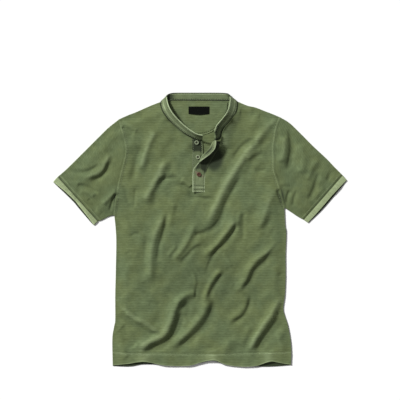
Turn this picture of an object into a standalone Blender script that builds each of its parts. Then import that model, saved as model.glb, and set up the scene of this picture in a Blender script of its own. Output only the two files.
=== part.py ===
"""A stand-collar polo shirt laid flat on its back, drawn from named sizes and short tables.

Metres, +Z up. +Y points from the hem to the collar and +X to the wearer's left. The tables are in
millimetres. One height field gives the top of the upper layer, and every upper piece reads it.
"""

import math
from collections import namedtuple

import bmesh
import bpy
import numpy as np
from mathutils import Matrix, Vector

MM = 0.001

# Cloth
WALL = 1.2                 # piqué of the body and the sleeves
CUFF_WALL = 1.6            # knitted sleeve band
BAND_WALL = 2.0            # collar stand, two layers and its interlining
UNDER_PLACKET_WALL = 1.4
OVER_PLACKET_WALL = 1.8
PATCH_WALL = 0.8
LABEL_WALL = 0.6
SEAM_GAP = 0.3             # between pieces that are sewn together

# How the upper layer lies on the lower one
EDGE_HEIGHT = 2.3          # top of the cloth where the shirt is folded flat at its sides
REST_HEIGHT = 7.0          # top of the cloth where it lies loosely
LOWEST_HEIGHT = 2.6        # two walls and the air between them
FLOOR_ROUNDING = 0.8
SIDE_ROLL = 35.0           # how far in from a folded side the cloth takes to rise
END_ROLL = 60.0            # the same from the hem and the sleeve ends
END_SHARE = 0.4
SLOPE_STEP = 1.0

# Grids
BODY_ROWS = 46
SLOT_ROW = 27              # the placket's foot is at this row
SIDE_ROW = 25              # the underarm is at this row
HALF_COLUMNS = 14
NECK_COLUMNS = 7           # of the right half's columns, how many end at the neck
PLACKET_COLUMNS = 3
TOP_HOLD = 6
SLEEVE_ROWS = 10
CUFF_ROWS = 2
TUBE_COLUMNS = BODY_ROWS - SIDE_ROW
TUBE_INSET = 0.018         # share of a tube's width at which its flat layers begin
BAND_SECTIONS = 40
BAND_COLUMNS = 4
OVER_ROWS = 20
OVER_COLUMNS = 8
UNDER_ROWS = 8
UNDER_COLUMNS = 4
CURVE_STEPS = 8

# Placket and what is fastened to it
PLACKET_LEFT = -21.3
PLACKET_RIGHT = 14.0
PLACKET_FOOT = 104.4
NECK_SETBACK = 2.0         # the panels' neck edges stop this far from the stand's centre line
NECK_CENTRE = (0.0, 318.0)
BUTTON_RADIUS = 6.0
BUTTON_THICKNESS = 2.4
BUTTON_DISH_RADIUS = 4.2
BUTTON_DISH_DEPTH = 0.7
BUTTON_ROUNDING = 0.6
BUTTON_HOLE_RADIUS = 0.75
BUTTON_HOLE_SPACING = 1.5
BUTTON_SIDES = 24
HOLE_SIDES = 8
BUTTON_LIFT = 0.5          # thread between a button and its placket
PATCH_MIDDLE = -4.0
PATCH_HALF_WIDTH = 80.0
PATCH_DEPTH = 91.0
PATCH_STRAIGHT = 6.0
PATCH_TOP = 356.0
PATCH_SIDES = 20
LABEL_LEFT = -32.2
LABEL_RIGHT = 26.0
LABEL_TOP = 344.4
LABEL_FOOT = 323.7
LABEL_BOW = 2.0            # its lower edge hangs in a shallow bow
CUFF_BACK_RUN = (3.6, -3.4)  # how far out and down a cuff's lower layer shows past its upper one
CUFF_RAISE = 0.8

# Colours
PIQUE_GREEN = (107, 118, 85)
BAND_GREEN = (116, 128, 92)
RIB_GREEN = (132, 145, 106)
INSIDE_GREEN = (109, 120, 88)
HORN_BROWN = (74, 50, 38)
LABEL_BLACK = (30, 33, 28)

Point = namedtuple("Point", "x y")
Fold = namedtuple("Fold", "name x0 y0 xm ym x1 y1 width height")
BandRow = namedtuple("BandRow", "layer seam_x seam_y lift edge_x edge_y rise")
StripRow = namedtuple(
    "StripRow", "free_x free_y free_z half_x half_y half_z sewn_x sewn_y sewn_lift")
Button = namedtuple("Button", "name x y")


def points(*pairs):
    """Name the two columns of a short table of places."""
    return [Point(*pair) for pair in pairs]


# The outline, from the neck point out and down. The wearer's right is at -X.
RIGHT_SHOULDER = points((-112.0, 356.6), (-137.2, 346.9), (-180.0, 328.2), (-201.3, 320.0), (-226.5, 308.6))
RIGHT_SLEEVE_TOP = points(
    (-226.9, 308.3), (-253.1, 287.8), (-271.0, 271.0), (-347.2, 194.9), (-376.6, 166.3), (-397.4, 148.6))
RIGHT_SLEEVE_UNDER = points((-240.1, 39.8), (-254.8, 37.0), (-273.6, 27.7), (-284.8, 23.5))
RIGHT_CUFF_TOP = points((-397.8, 148.2), (-404.6, 141.0), (-410.8, 133.6))
RIGHT_CUFF_UNDER = points((-285.1, 23.2), (-291.6, 17.2), (-296.8, 12.0))
RIGHT_CUFF_END = points(
    (-410.8, 133.6), (-378.0, 107.0), (-350.0, 80.6), (-339.9, 68.2), (-318.0, 40.5), (-296.8, 12.0))
RIGHT_ARMHOLE = points(
    (-226.5, 308.6), (-217.3, 276.9), (-208.0, 241.9), (-205.8, 218.7), (-212.8, 184.0), (-222.0, 149.2),
    (-229.6, 112.0), (-234.6, 79.5), (-239.7, 39.8))
RIGHT_SIDE = points(
    (-239.7, 39.8), (-234.4, -22.4), (-235.5, -113.1), (-237.2, -184.5), (-237.2, -252.3),
    (-240.8, -273.8), (-245.3, -306.0), (-244.2, -381.1))
LEFT_SHOULDER = points(
    (106.1, 358.0), (132.2, 346.9), (155.4, 341.6), (178.6, 332.6), (201.9, 323.7), (224.0, 314.4))
LEFT_SLEEVE_TOP = points(
    (224.4, 314.1), (250.0, 298.8), (280.0, 270.2), (315.6, 234.4), (352.5, 199.9), (375.5, 175.8),
    (398.5, 153.0))
LEFT_SLEEVE_UNDER = points((236.4, 61.0), (252.6, 50.7), (272.0, 37.6), (289.5, 28.0))
LEFT_CUFF_TOP = points((398.9, 152.6), (404.8, 146.0), (410.8, 138.9))
LEFT_CUFF_UNDER = points((289.8, 27.7), (296.0, 23.4), (301.8, 19.3))
LEFT_CUFF_END = points((410.8, 138.9), (372.0, 98.0), (338.0, 58.5), (301.8, 19.3))
LEFT_ARMHOLE = points(
    (224.0, 314.4), (212.5, 286.2), (208.0, 259.3), (203.6, 232.7), (204.4, 196.8), (205.2, 166.9),
    (212.5, 143.6), (221.6, 113.4), (230.4, 81.2), (236.0, 61.0))
LEFT_SIDE = points(
    (236.0, 61.0), (238.3, 11.5), (241.3, -8.0), (239.4, -70.0), (239.6, -135.0), (237.4, -184.5),
    (233.0, -220.4), (237.4, -241.6), (247.2, -273.8), (255.4, -327.3), (254.5, -379.1))
FRONT_HEM = points(
    (-244.2, -379.6), (-201.6, -375.4), (-156.8, -369.3), (-105.0, -379.1), (-56.0, -381.9), (-22.4, -379.1),
    (8.0, -370.0), (40.0, -365.1), (71.4, -377.4), (110.0, -383.0), (156.8, -381.1), (196.0, -368.5),
    (224.0, -373.0), (254.5, -378.0))
BACK_HEM = points(
    (-244.2, -381.1), (-196.0, -382.8), (-157.0, -376.5), (-105.0, -378.5), (-56.0, -381.0), (0.0, -373.5),
    (36.0, -367.0), (71.0, -377.0), (126.0, -382.3), (196.0, -383.0), (254.5, -379.1))
BACK_NECK = points(
    (-112.0, 356.6), (-98.0, 359.4), (-75.0, 361.0), (-36.0, 361.1), (4.0, 360.9), (44.0, 360.7),
    (76.0, 360.4), (93.0, 359.3), (106.1, 358.0))

# The largest folds, as a soft ridge (height > 0) or trough (height < 0) along a bent line.
FOLDS = [
    Fold("right neck point", -158, 340, -114, 346, -86, 300, 24, 3.2),
    Fold("left neck point", 156, 340, 108, 347, 84, 300, 24, 3.2),
    Fold("lifted neck edge", 90, 329, 60, 272, 57, 223, 24, 8.0),
    Fold("right shoulder", -218, 304, -196, 288, -174, 268, 10, 3.5),
    Fold("right chest", -129, 268, -143, 226, -158, 184, 17, 6.5),
    Fold("right chest hollow", -174, 214, -179, 191, -183, 167, 10, -2.5),
    Fold("right lower chest", -109, 158, -129, 122, -151, 77, 15, 6.5),
    Fold("right lower chest hollow", -104, 144, -116, 118, -129, 91, 9, -3.0),
    Fold("placket foot hollow", -66, 128, -26, 99, 39, 84, 9, -2.5),
    Fold("right waist", -109, 27, -126, -21, -139, -74, 16, 6.5),
    Fold("right waist hollow", -91, 52, -101, -3, -119, -82, 10, -3.5),
    Fold("long chest ridge", 188, 292, 96, 152, 8, 2, 17, 12.0),
    Fold("long chest hollow", 107, 130, 70, 60, 6, -13, 10, -5.0),
    Fold("upper chest hollow", 146, 251, 119, 226, 96, 200, 10, -3.0),
    Fold("middle ridge", 92, 18, 66, -22, 22, -66, 14, 8.0),
    Fold("middle hollow", 96, 7, 62, -47, 28, -96, 9, -4.5),
    Fold("centre ridge", -16, 10, -43, -29, -71, -74, 15, 6.5),
    Fold("centre hollow", 6, -46, -20, -66, -53, -91, 9, -3.0),
    Fold("left waist ridge", 198, -57, 139, -113, 95, -180, 15, 9.0),
    Fold("left waist hollow", 210, -52, 160, -107, 129, -164, 9, -4.0),
    Fold("left underarm ridge", 214, 100, 185, 49, 157, -10, 15, 6.5),
    Fold("belly ridge", 53, -124, 31, -155, 14, -189, 12, 6.0),
    Fold("belly hollow", 60, -131, 46, -153, 36, -175, 8, -3.0),
    Fold("hem centre ridge", 0, -259, -40, -293, -84, -337, 13, 5.0),
    Fold("hem centre hollow", 37, -203, 11, -270, -78, -342, 10, -3.5),
    Fold("right hem ridge", -25, -177, -90, -268, -184, -362, 18, 12.0),
    Fold("right hem hollow", -59, -261, -88, -309, -139, -320, 11, -5.5),
    Fold("right side ridge", -200, -238, -169, -256, -132, -284, 12, 7.5),
    Fold("right side hollow", -227, -250, -164, -278, -115, -288, 9, -4.5),
    Fold("left hem ridge", 221, -208, 188, -268, 139, -337, 15, 9.0),
    Fold("left hem hollow", 223, -264, 188, -312, 170, -340, 12, -4.5),
    Fold("right hem arch", -150, -338, -155, -366, -157, -396, 22, 4.0),
    Fold("centre hem arch", 30, -330, 34, -362, 36, -396, 26, 4.5),
    Fold("left hem arch", 188, -336, 194, -364, 197, -396, 20, 4.0),
    Fold("right sleeve ridge", -262, 190, -284, 160, -330, 142, 13, 5.0),
    Fold("right sleeve hollow", -364, 172, -326, 167, -283, 173, 9, -2.5),
    Fold("right underarm ridge", -236, 106, -252, 84, -272, 62, 11, 4.0),
    Fold("left sleeve hollow", 254, 270, 257, 232, 241, 170, 10, -2.5),
    Fold("left sleeve ridge", 282, 262, 290, 216, 282, 168, 16, 3.5),
    Fold("left cuff hollow", 330, 147, 322, 120, 309, 91, 10, -2.5),
]

# The stand from its end on the button side, round the neck, to its end on the buttonhole side.
# lift is the seam's rise over what it is sewn to, or its whole height where the placket is open, and
# rise is the free edge's rise over the seam.
BAND_ROWS = [
    BandRow("front", 6.2, 248.5, -0.8, 8.0, 263.0, 22.0),
    BandRow("front", -5.6, 251.0, -0.3, -3.4, 265.0, 22.5),
    BandRow("front", -19.6, 257.0, 0.0, -14.6, 269.5, 22.0),
    BandRow("front", -45.9, 271.2, 0.0, -35.0, 283.8, 21.0),
    BandRow("front", -68.6, 290.2, 0.0, -55.2, 302.0, 19.0),
    BandRow("front", -88.2, 309.2, 0.0, -72.8, 321.6, 16.5),
    BandRow("front", -102.8, 329.4, 0.0, -84.6, 340.6, 13.5),
    BandRow("front", -109.2, 347.5, 0.0, -90.4, 358.7, 10.0),
    BandRow("fold", -110.0, 357.8, 3.0, -92.0, 374.0, 4.5),
    BandRow("back", -99.0, 361.0, 0.0, -83.0, 381.1, 0.8),
    BandRow("back", -75.6, 361.5, 0.0, -70.3, 383.0, 0.0),
    BandRow("back", -36.0, 361.6, 0.0, -34.0, 383.2, 0.0),
    BandRow("back", 4.0, 361.4, 0.0, 4.0, 383.2, 0.0),
    BandRow("back", 44.0, 361.2, 0.0, 42.0, 383.2, 0.0),
    BandRow("back", 76.0, 360.9, 0.0, 66.0, 382.6, 0.0),
    BandRow("back", 95.0, 360.5, 0.0, 77.0, 380.9, 0.8),
    BandRow("fold", 103.8, 358.6, 3.0, 82.2, 374.2, 4.0),
    BandRow("front", 105.0, 347.5, 0.0, 83.6, 360.0, 9.5),
    BandRow("front", 101.2, 329.3, 0.0, 79.2, 338.0, 13.0),
    BandRow("front", 91.0, 312.5, 0.0, 71.4, 321.4, 16.5),
    BandRow("front", 80.4, 298.8, 0.0, 61.0, 308.3, 16.5),
    BandRow("front", 68.6, 286.0, 0.0, 52.0, 297.6, 17.5),
    BandRow("front", 61.5, 271.5, 0.3, 45.6, 289.5, 16.5),
    BandRow("front", 58.0, 256.0, 0.8, 42.4, 281.5, 14.5),
    BandRow("open", 51.5, 249.8, 19.0, 41.4, 277.5, 12.0),
    BandRow("open", 41.5, 248.9, 25.0, 41.0, 276.5, 8.0),
    BandRow("open", 45.0, 249.3, 33.0, 41.6, 277.0, 3.0),
]
# Across a placket: its free edge, a place half way and its sewn edge. Only the last is a rise over
# the cloth it is sewn to; the others are heights over the surface that the shirt lies on.
OVER_PLACKET_ROWS = [
    StripRow(45.2, 248.2, 33.0, 39.2, 247.6, 24.0, 57.1, 246.4, 0.0),
    StripRow(44.8, 236.9, 31.5, 32.5, 238.0, 22.0, 54.3, 231.3, 0.0),
    StripRow(40.9, 224.3, 29.5, 26.3, 226.8, 20.0, 46.5, 217.3, 0.0),
    StripRow(30.8, 212.8, 25.5, 16.8, 216.2, 17.0, 36.4, 201.9, 0.0),
    StripRow(17.9, 202.4, 21.5, 6.2, 205.0, 13.5, 28.0, 186.5, 0.0),
    StripRow(4.5, 192.6, 18.0, 0.5, 190.5, 11.0, 21.8, 173.9, 0.0),
    StripRow(-7.8, 182.8, 11.8, 1.5, 174.5, 9.6, 17.4, 161.3, 0.0),
    StripRow(-17.9, 169.7, 9.8, -1.0, 161.0, 8.6, 15.1, 147.3, 0.0),
    StripRow(-20.9, 153.5, 9.0, -3.4, 149.0, 8.0, 13.8, 136.1, 0.0),
    StripRow(-20.9, 128.0, 8.8, -3.4, 125.0, 7.6, 13.7, 122.0, 0.0),
    StripRow(-20.9, 104.8, 8.7, -3.4, 104.8, 7.6, 13.7, 104.8, 0.0),
]
UNDER_PLACKET_ROWS = [
    StripRow(6.6, 246.8, 4.3, -7.2, 251.0, 5.4, -21.0, 255.4, 0.0),
    StripRow(8.2, 232.0, 4.1, -6.4, 234.0, 5.3, -21.0, 236.0, 0.0),
    StripRow(8.4, 200.0, 3.9, -6.3, 200.0, 5.1, -21.0, 200.0, 0.0),
    StripRow(8.4, 160.0, 3.6, -6.3, 160.0, 4.8, -21.0, 160.0, -0.4),
    StripRow(8.4, 104.8, 3.6, -6.3, 104.8, 4.7, -21.0, 104.8, -0.6),
]
BUTTONS = [
    Button("button_collar", -9.5, 243.4),
    Button("button_middle", -5.9, 202.7),
    Button("button_lower", -3.4, 154.6),
]


# --- curves and heights -------------------------------------------------------------------------

def blend_rows(before, start, end, after, share):
    """Catmull-Rom between two rows of a table, column by column."""
    square = share * share
    cube = square * share
    mixed = []
    for a, b, c, d in zip(before, start, end, after):
        mixed.append(0.5 * (2 * b + (c - a) * share + (2 * a - 5 * b + 4 * c - d) * square
                            + (3 * b - a - 3 * c + d) * cube))
    return mixed


def smooth_rows(rows, steps):
    """Read a table as one smooth curve with a few steps between its rows."""
    rows = [tuple(row) for row in rows]
    dense = []
    for index in range(len(rows) - 1):
        before = rows[max(index - 1, 0)]
        after = rows[min(index + 2, len(rows) - 1)]
        for step in range(steps):
            dense.append(blend_rows(before, rows[index], rows[index + 1], after, step / steps))
    dense.append(list(rows[-1]))
    return dense


def spread(rows, count):
    """Places at even lengths along a smooth table, ends included."""
    dense = smooth_rows(rows, CURVE_STEPS)
    lengths = [0.0]
    for a, b in zip(dense, dense[1:]):
        lengths.append(lengths[-1] + math.dist(a[:2], b[:2]))
    columns = list(zip(*dense))
    wanted = np.linspace(0.0, lengths[-1], count + 1)
    return list(zip(*(np.interp(wanted, lengths, column) for column in columns)))


def pieces_of(places):
    """Straight pieces of a line, as rows of x, y, x, y."""
    return [(*a[:2], *b[:2]) for a, b in zip(places, places[1:])]


def distances(lines, x, y):
    """Distance from a place to each straight piece, and how far along the piece that is."""
    start = lines[:, :2]
    along = lines[:, 2:] - start
    share = ((x - start[:, 0]) * along[:, 0] + (y - start[:, 1]) * along[:, 1]) / (along ** 2).sum(axis=1)
    share = np.clip(share, 0.0, 1.0)
    near = start + along * share[:, None]
    return np.hypot(x - near[:, 0], y - near[:, 1]), share


def fold_line(fold):
    """The bent line of a fold, through its two ends and its middle."""
    bend_x = 2 * fold.xm - 0.5 * (fold.x0 + fold.x1)
    bend_y = 2 * fold.ym - 0.5 * (fold.y0 + fold.y1)
    places = []
    for step in range(CURVE_STEPS + 1):
        t = step / CURVE_STEPS
        near, middle, far = (1 - t) ** 2, 2 * t * (1 - t), t * t
        places.append((near * fold.x0 + middle * bend_x + far * fold.x1,
                       near * fold.y0 + middle * bend_y + far * fold.y1))
    return places


FOLD_LINES = np.array([row for fold in FOLDS for row in pieces_of(fold_line(fold))])
FOLD_WIDTHS = np.array([fold.width for fold in FOLDS], dtype=float)
FOLD_HEIGHTS = np.array([fold.height for fold in FOLDS], dtype=float)
SIDES = np.array([
    row
    for table in (RIGHT_SHOULDER, RIGHT_SLEEVE_TOP, RIGHT_CUFF_TOP, RIGHT_SLEEVE_UNDER, RIGHT_CUFF_UNDER,
                  RIGHT_SIDE, LEFT_SHOULDER, LEFT_SLEEVE_TOP, LEFT_CUFF_TOP, LEFT_SLEEVE_UNDER,
                  LEFT_CUFF_UNDER, LEFT_SIDE)
    for row in pieces_of(table)])
ENDS = np.array([row for table in (RIGHT_CUFF_END, LEFT_CUFF_END, FRONT_HEM) for row in pieces_of(table)])


def ease(value):
    """Rise smoothly from 0 to 1."""
    value = min(max(value, 0.0), 1.0)
    return value * value * (3 - 2 * value)


def fold_height(x, y):
    """The folds' ridges and troughs added up at one place."""
    away, share = distances(FOLD_LINES, x, y)
    away = away.reshape(len(FOLDS), CURVE_STEPS)
    share = share.reshape(len(FOLDS), CURVE_STEPS)
    nearest = away.argmin(axis=1)
    row = np.arange(len(FOLDS))
    along = (nearest + share[row, nearest]) / CURVE_STEPS
    fade = np.clip(4.8 * along * (1 - along), 0.0, 1.0)
    return float((FOLD_HEIGHTS * fade * np.exp(-(away[row, nearest] / FOLD_WIDTHS) ** 2)).sum())


def cloth_height(x, y):
    """Top of the upper layer of cloth."""
    side = ease(distances(SIDES, x, y)[0].min() / SIDE_ROLL)
    end = END_SHARE + (1 - END_SHARE) * ease(distances(ENDS, x, y)[0].min() / END_ROLL)
    height = EDGE_HEIGHT + (REST_HEIGHT - EDGE_HEIGHT) * side * end
    height += fold_height(x, y) * (0.25 + 0.75 * side)
    above = height - LOWEST_HEIGHT
    return LOWEST_HEIGHT + 0.5 * (above + math.hypot(above, FLOOR_ROUNDING))


def cloth_under(x, y, wall):
    """Underside of the upper layer, so that the wall keeps its thickness on a slope."""
    top = cloth_height(x, y)
    slope_x = (cloth_height(x + SLOPE_STEP, y) - top) / SLOPE_STEP
    slope_y = (cloth_height(x, y + SLOPE_STEP) - top) / SLOPE_STEP
    return top - wall * math.sqrt(1 + slope_x ** 2 + slope_y ** 2)


# --- meshes -------------------------------------------------------------------------------------

def linear(channel):
    """One sRGB channel of 0 to 255 as a linear value."""
    channel /= 255
    return channel / 12.92 if channel <= 0.04045 else ((channel + 0.055) / 1.055) ** 2.4


def material(name, colour, roughness):
    """A plain Principled material."""
    made = bpy.data.materials.new(name)
    made.use_nodes = True
    shader = made.node_tree.nodes["Principled BSDF"]
    shader.inputs["Base Color"].default_value = (*(linear(channel) for channel in colour), 1.0)
    shader.inputs["Roughness"].default_value = roughness
    shader.inputs["Metallic"].default_value = 0.0
    return made


def finish(bm, name, colour, roughness=0.9):
    """Turn a bmesh in millimetres into a named object in metres."""
    bmesh.ops.scale(bm, vec=(MM, MM, MM), verts=bm.verts)
    bmesh.ops.recalc_face_normals(bm, faces=bm.faces)
    mesh = bpy.data.meshes.new(name)
    bm.to_mesh(mesh)
    bm.free()
    mesh.shade_smooth()
    mesh.set_sharp_from_angle(angle=math.radians(50))
    mesh.materials.append(material(name, colour, roughness))
    made = bpy.data.objects.new(name, mesh)
    bpy.context.scene.collection.objects.link(made)
    return made


def wall(name, outer, inner, cells, colour):
    """Close the space between an outer and an inner grid of places with one wall."""
    bm = bmesh.new()
    top = {key: bm.verts.new(place) for key, place in outer.items()}
    low = {key: bm.verts.new(place) for key, place in inner.items()}
    twin = {top[key]: low[key] for key in top}
    for cell in cells:
        bm.faces.new([top[key] for key in cell])
    rim = [edge for edge in bm.edges if edge.is_boundary]
    for edge in rim:
        first, second = edge.verts
        bm.faces.new((second, first, twin[first], twin[second]))
    for cell in cells:
        bm.faces.new([low[key] for key in reversed(cell)])
    return finish(bm, name, colour)


def grid_cells(rows, columns, around=False):
    """The four corners of every cell of a grid, closed on itself where it goes around."""
    last = columns if around else columns - 1
    cells = []
    for row in range(rows - 1):
        for column in range(last):
            beside = (column + 1) % columns
            cells.append(((row, column), (row, beside), (row + 1, beside), (row + 1, column)))
    return cells


def patch(bottom, top, left, right, hold=1):
    """Fill four edges with a grid: bottom and top run along it, left and right go up it.

    A hold above 1 keeps the top edge's shape to the rows near it.
    """
    rows, columns = len(left), len(bottom)
    grid = []
    for row in range(rows):
        v = (row / (rows - 1)) ** hold
        line = []
        for column in range(columns):
            u = column / (columns - 1)
            place = []
            for axis in (0, 1):
                sideways = (1 - u) * left[row][axis] + u * right[row][axis]
                upward = (1 - v) * bottom[column][axis] + v * top[column][axis]
                corners = ((1 - u) * ((1 - v) * left[0][axis] + v * left[-1][axis])
                           + u * ((1 - v) * right[0][axis] + v * right[-1][axis]))
                place.append(sideways + upward - corners)
            line.append(tuple(place))
        grid.append(line)
    return grid


def joined(*parts):
    """Put curves end to end, with their shared places once."""
    places = list(parts[0])
    for part in parts[1:]:
        places.extend(part[1:])
    return places


# --- body ---------------------------------------------------------------------------------------

def neck_edge(rows):
    """The seam of the stand moved out from the neck, as the edge of a front panel."""
    moved = []
    for row in rows:
        away = Vector((row.seam_x - NECK_CENTRE[0], row.seam_y - NECK_CENTRE[1])).normalized()
        moved.append(Point(row.seam_x + away.x * NECK_SETBACK, row.seam_y + away.y * NECK_SETBACK))
    return moved


def slot_edge():
    """The panel's edge beside the buttonhole placket, further off where the placket stands up."""
    edge = [(PLACKET_RIGHT, PLACKET_FOOT)]
    rows = OVER_PLACKET_ROWS[::-1]
    for before, row, after in zip(rows, rows[1:], rows[2:] + [rows[-1]]):
        run = Vector((after.sewn_x - before.sewn_x, after.sewn_y - before.sewn_y)).normalized()
        standing = min(max((row.free_z - REST_HEIGHT - OVER_PLACKET_WALL) / 8.0, 0.0), 1.0)
        gap = 2 * SEAM_GAP + 0.8 * OVER_PLACKET_WALL * standing
        edge.append((row.sewn_x + run.y * gap, row.sewn_y - run.x * gap))
    return edge


def hem_between(start_x, end_x, count):
    """Places along the front hem between two values of x."""
    dense = smooth_rows(FRONT_HEM, CURVE_STEPS)
    wanted = np.linspace(start_x, end_x, count + 1)
    return list(zip(wanted, np.interp(wanted, [row[0] for row in dense], [row[1] for row in dense])))


def front_grid():
    """Places of the front panel, and the cells that the placket leaves."""
    upper = BODY_ROWS - SLOT_ROW
    front_rows = [row for row in BAND_ROWS if row.layer == "front"]
    right_neck = neck_edge(row for row in front_rows if row.seam_x < PLACKET_LEFT + 2)
    left_neck = neck_edge(row for row in front_rows if row.seam_x > PLACKET_RIGHT)
    right_corner = (PLACKET_LEFT - 0.4, right_neck[0].y)
    hem_left = hem_between(-243.9, PLACKET_LEFT, HALF_COLUMNS)
    hem_middle = hem_between(PLACKET_LEFT, PLACKET_RIGHT, PLACKET_COLUMNS)
    hem_right = hem_between(PLACKET_RIGHT, 254.2, HALF_COLUMNS)
    right_side = joined(spread(RIGHT_SIDE[::-1], SIDE_ROW), spread(RIGHT_ARMHOLE[::-1], BODY_ROWS - SIDE_ROW))
    left_side = joined(spread(LEFT_SIDE[::-1], SIDE_ROW), spread(LEFT_ARMHOLE[::-1], BODY_ROWS - SIDE_ROW))
    slot_left = joined(
        spread([hem_left[-1], (PLACKET_LEFT, PLACKET_FOOT)], SLOT_ROW),
        spread([(PLACKET_LEFT, PLACKET_FOOT), right_corner], upper))
    slot_right = joined(
        spread([hem_right[0], (PLACKET_RIGHT, PLACKET_FOOT)], SLOT_ROW),
        spread(slot_edge() + left_neck[::-1] + [LEFT_SHOULDER[0]], upper))
    right_neck_edge = [Point(*right_corner)] + right_neck[1:] + [RIGHT_SHOULDER[0]]
    shoulder = HALF_COLUMNS - NECK_COLUMNS
    right_top = joined(spread(RIGHT_SHOULDER[::-1], shoulder), spread(right_neck_edge[::-1], NECK_COLUMNS))
    left_top = spread(LEFT_SHOULDER, HALF_COLUMNS)
    right_half = patch(hem_left, right_top, right_side, slot_left, TOP_HOLD)
    left_half = patch(hem_right, left_top, slot_right, left_side)
    foot = spread([slot_left[SLOT_ROW], slot_right[SLOT_ROW]], PLACKET_COLUMNS)
    middle = patch(hem_middle, foot, slot_left[:SLOT_ROW + 1], slot_right[:SLOT_ROW + 1])
    places = {}
    for row in range(BODY_ROWS + 1):
        line = list(right_half[row])
        line += middle[row][1:-1] if row <= SLOT_ROW else [None] * (PLACKET_COLUMNS - 1)
        line += left_half[row]
        for column, place in enumerate(line):
            if place is not None:
                places[row, column] = place
    columns = 2 * HALF_COLUMNS + PLACKET_COLUMNS + 1
    cells = []
    for cell in grid_cells(BODY_ROWS + 1, columns):
        row, column = cell[0]
        in_slot = row >= SLOT_ROW and HALF_COLUMNS <= column < HALF_COLUMNS + PLACKET_COLUMNS
        if not in_slot:
            cells.append(cell)
    return places, cells


def make_front():
    """The front panel over the back one, with the folds in it."""
    places, cells = front_grid()
    outer = {key: (x, y, cloth_height(x, y)) for key, (x, y) in places.items()}
    inner = {key: (x, y, cloth_under(x, y, WALL)) for key, (x, y) in places.items()}
    wall("front_body", outer, inner, cells, PIQUE_GREEN)


def slab(name, outline, low, thickness, colour):
    """A flat piece of cloth of one outline."""
    bm = bmesh.new()
    base = bm.faces.new([bm.verts.new((x, y, low)) for x, y in outline])
    raised = bmesh.ops.extrude_face_region(bm, geom=[base])["geom"]
    verts = [item for item in raised if isinstance(item, bmesh.types.BMVert)]
    bmesh.ops.translate(bm, verts=verts, vec=(0.0, 0.0, thickness))
    caps = [face for face in bm.faces if len(face.verts) > 4]
    bmesh.ops.triangulate(bm, faces=caps, quad_method="BEAUTY", ngon_method="BEAUTY")
    return finish(bm, name, colour)


def make_back():
    """The back panel, flat on the surface."""
    outline = joined(
        spread(BACK_HEM, 30), spread(LEFT_SIDE[::-1], 18), spread(LEFT_ARMHOLE[::-1], TUBE_COLUMNS),
        spread(LEFT_SHOULDER[::-1], 6), spread(BACK_NECK[::-1], 10), spread(RIGHT_SHOULDER, 6),
        spread(RIGHT_ARMHOLE, TUBE_COLUMNS), spread(RIGHT_SIDE, 18))
    slab("back_body", outline[:-1], 0.0, WALL, INSIDE_GREEN)


# --- sleeves and cuffs --------------------------------------------------------------------------

def tube_shares(inset):
    """Shares across a flattened tube at which its upper and lower layers have points."""
    middle = [step / TUBE_COLUMNS for step in range(1, TUBE_COLUMNS)]
    return [inset, *middle, 1 - inset]


def across(line, share):
    """A place between the columns of one row of a grid."""
    scaled = share * (len(line) - 1)
    index = min(int(scaled), len(line) - 2)
    part = scaled - index
    return [a + (b - a) * part for a, b in zip(line[index], line[index + 1])]


def flat_tube(name, upper, lower, thickness, raise_by, colour):
    """A tube of cloth pressed flat: a lower layer on the surface and an upper one on it."""
    outer, inner = {}, {}
    shares = tube_shares(TUBE_INSET)
    for row, (over, under) in enumerate(zip(upper, lower)):
        width = math.dist(over[0], over[-1])
        fold_share = thickness / width
        column = 0
        edges = []
        for share, line in ((0.0, over), (1.0, over)):
            x, y = across(line, share)
            within = across(line, abs(share - fold_share))
            height = cloth_height(x, y) + raise_by
            edges.append(((x, y, height / 2), (within[0], within[1], height / 2)))
        ring = [edges[0]]
        for share in shares:
            x, y = across(over, share)
            under_side = cloth_under(x, y, thickness) + raise_by
            ring.append(((x, y, cloth_height(x, y) + raise_by), (x, y, under_side)))
        ring.append(edges[1])
        for share in reversed(shares):
            x, y = across(under, share)
            ring.append(((x, y, 0.0), (x, y, thickness)))
        for column, (out, into) in enumerate(ring):
            outer[row, column] = out
            inner[row, column] = into
    cells = grid_cells(len(upper), 2 * len(shares) + 2, around=True)
    return wall(name, outer, inner, cells, colour)


def shifted(places, dx, dy):
    """A curve moved sideways."""
    return [(place[0] + dx, place[1] + dy) for place in places]


def make_sleeve(side, top, under, armhole, sign):
    """A sleeve from its armhole to its cuff seam."""
    start = shifted(spread(armhole, TUBE_COLUMNS), sign * 1.5 * SEAM_GAP, 0.0)
    end = spread([top[-1], under[-1]], TUBE_COLUMNS)
    upper_edge = spread(top, SLEEVE_ROWS)
    under_edge = spread(under, SLEEVE_ROWS)
    upper_edge[0] = start[0]
    under_edge[0] = start[-1]
    grid = patch(start, end, upper_edge, under_edge)
    flat_tube(side + "_sleeve", grid, grid, WALL, 0.0, PIQUE_GREEN)


def make_cuff(side, top, under, end_rows, sign):
    """The knitted band round a sleeve's end, its lower layer a little longer."""
    reach = Vector((sign * CUFF_BACK_RUN[0], CUFF_BACK_RUN[1]))
    start = spread([top[0], under[0]], TUBE_COLUMNS)
    end = spread(end_rows, TUBE_COLUMNS)
    longer = []
    for step, (x, y) in enumerate(end):
        out = math.sin(math.pi * step / TUBE_COLUMNS) ** 0.6
        longer.append((x + reach.x * out, y + reach.y * out))
    upper = patch(start, end, spread(top, CUFF_ROWS), spread(under, CUFF_ROWS))
    lower = patch(start, longer, spread(top, CUFF_ROWS), spread(under, CUFF_ROWS))
    flat_tube(side + "_cuff", upper, lower, CUFF_WALL, CUFF_RAISE, RIB_GREEN)


# --- collar and plackets ------------------------------------------------------------------------

def above_floor(place):
    """Keep a place from sinking below the surface that the shirt lies on."""
    return Vector((place.x, place.y, max(place.z, 0.0)))


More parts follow.
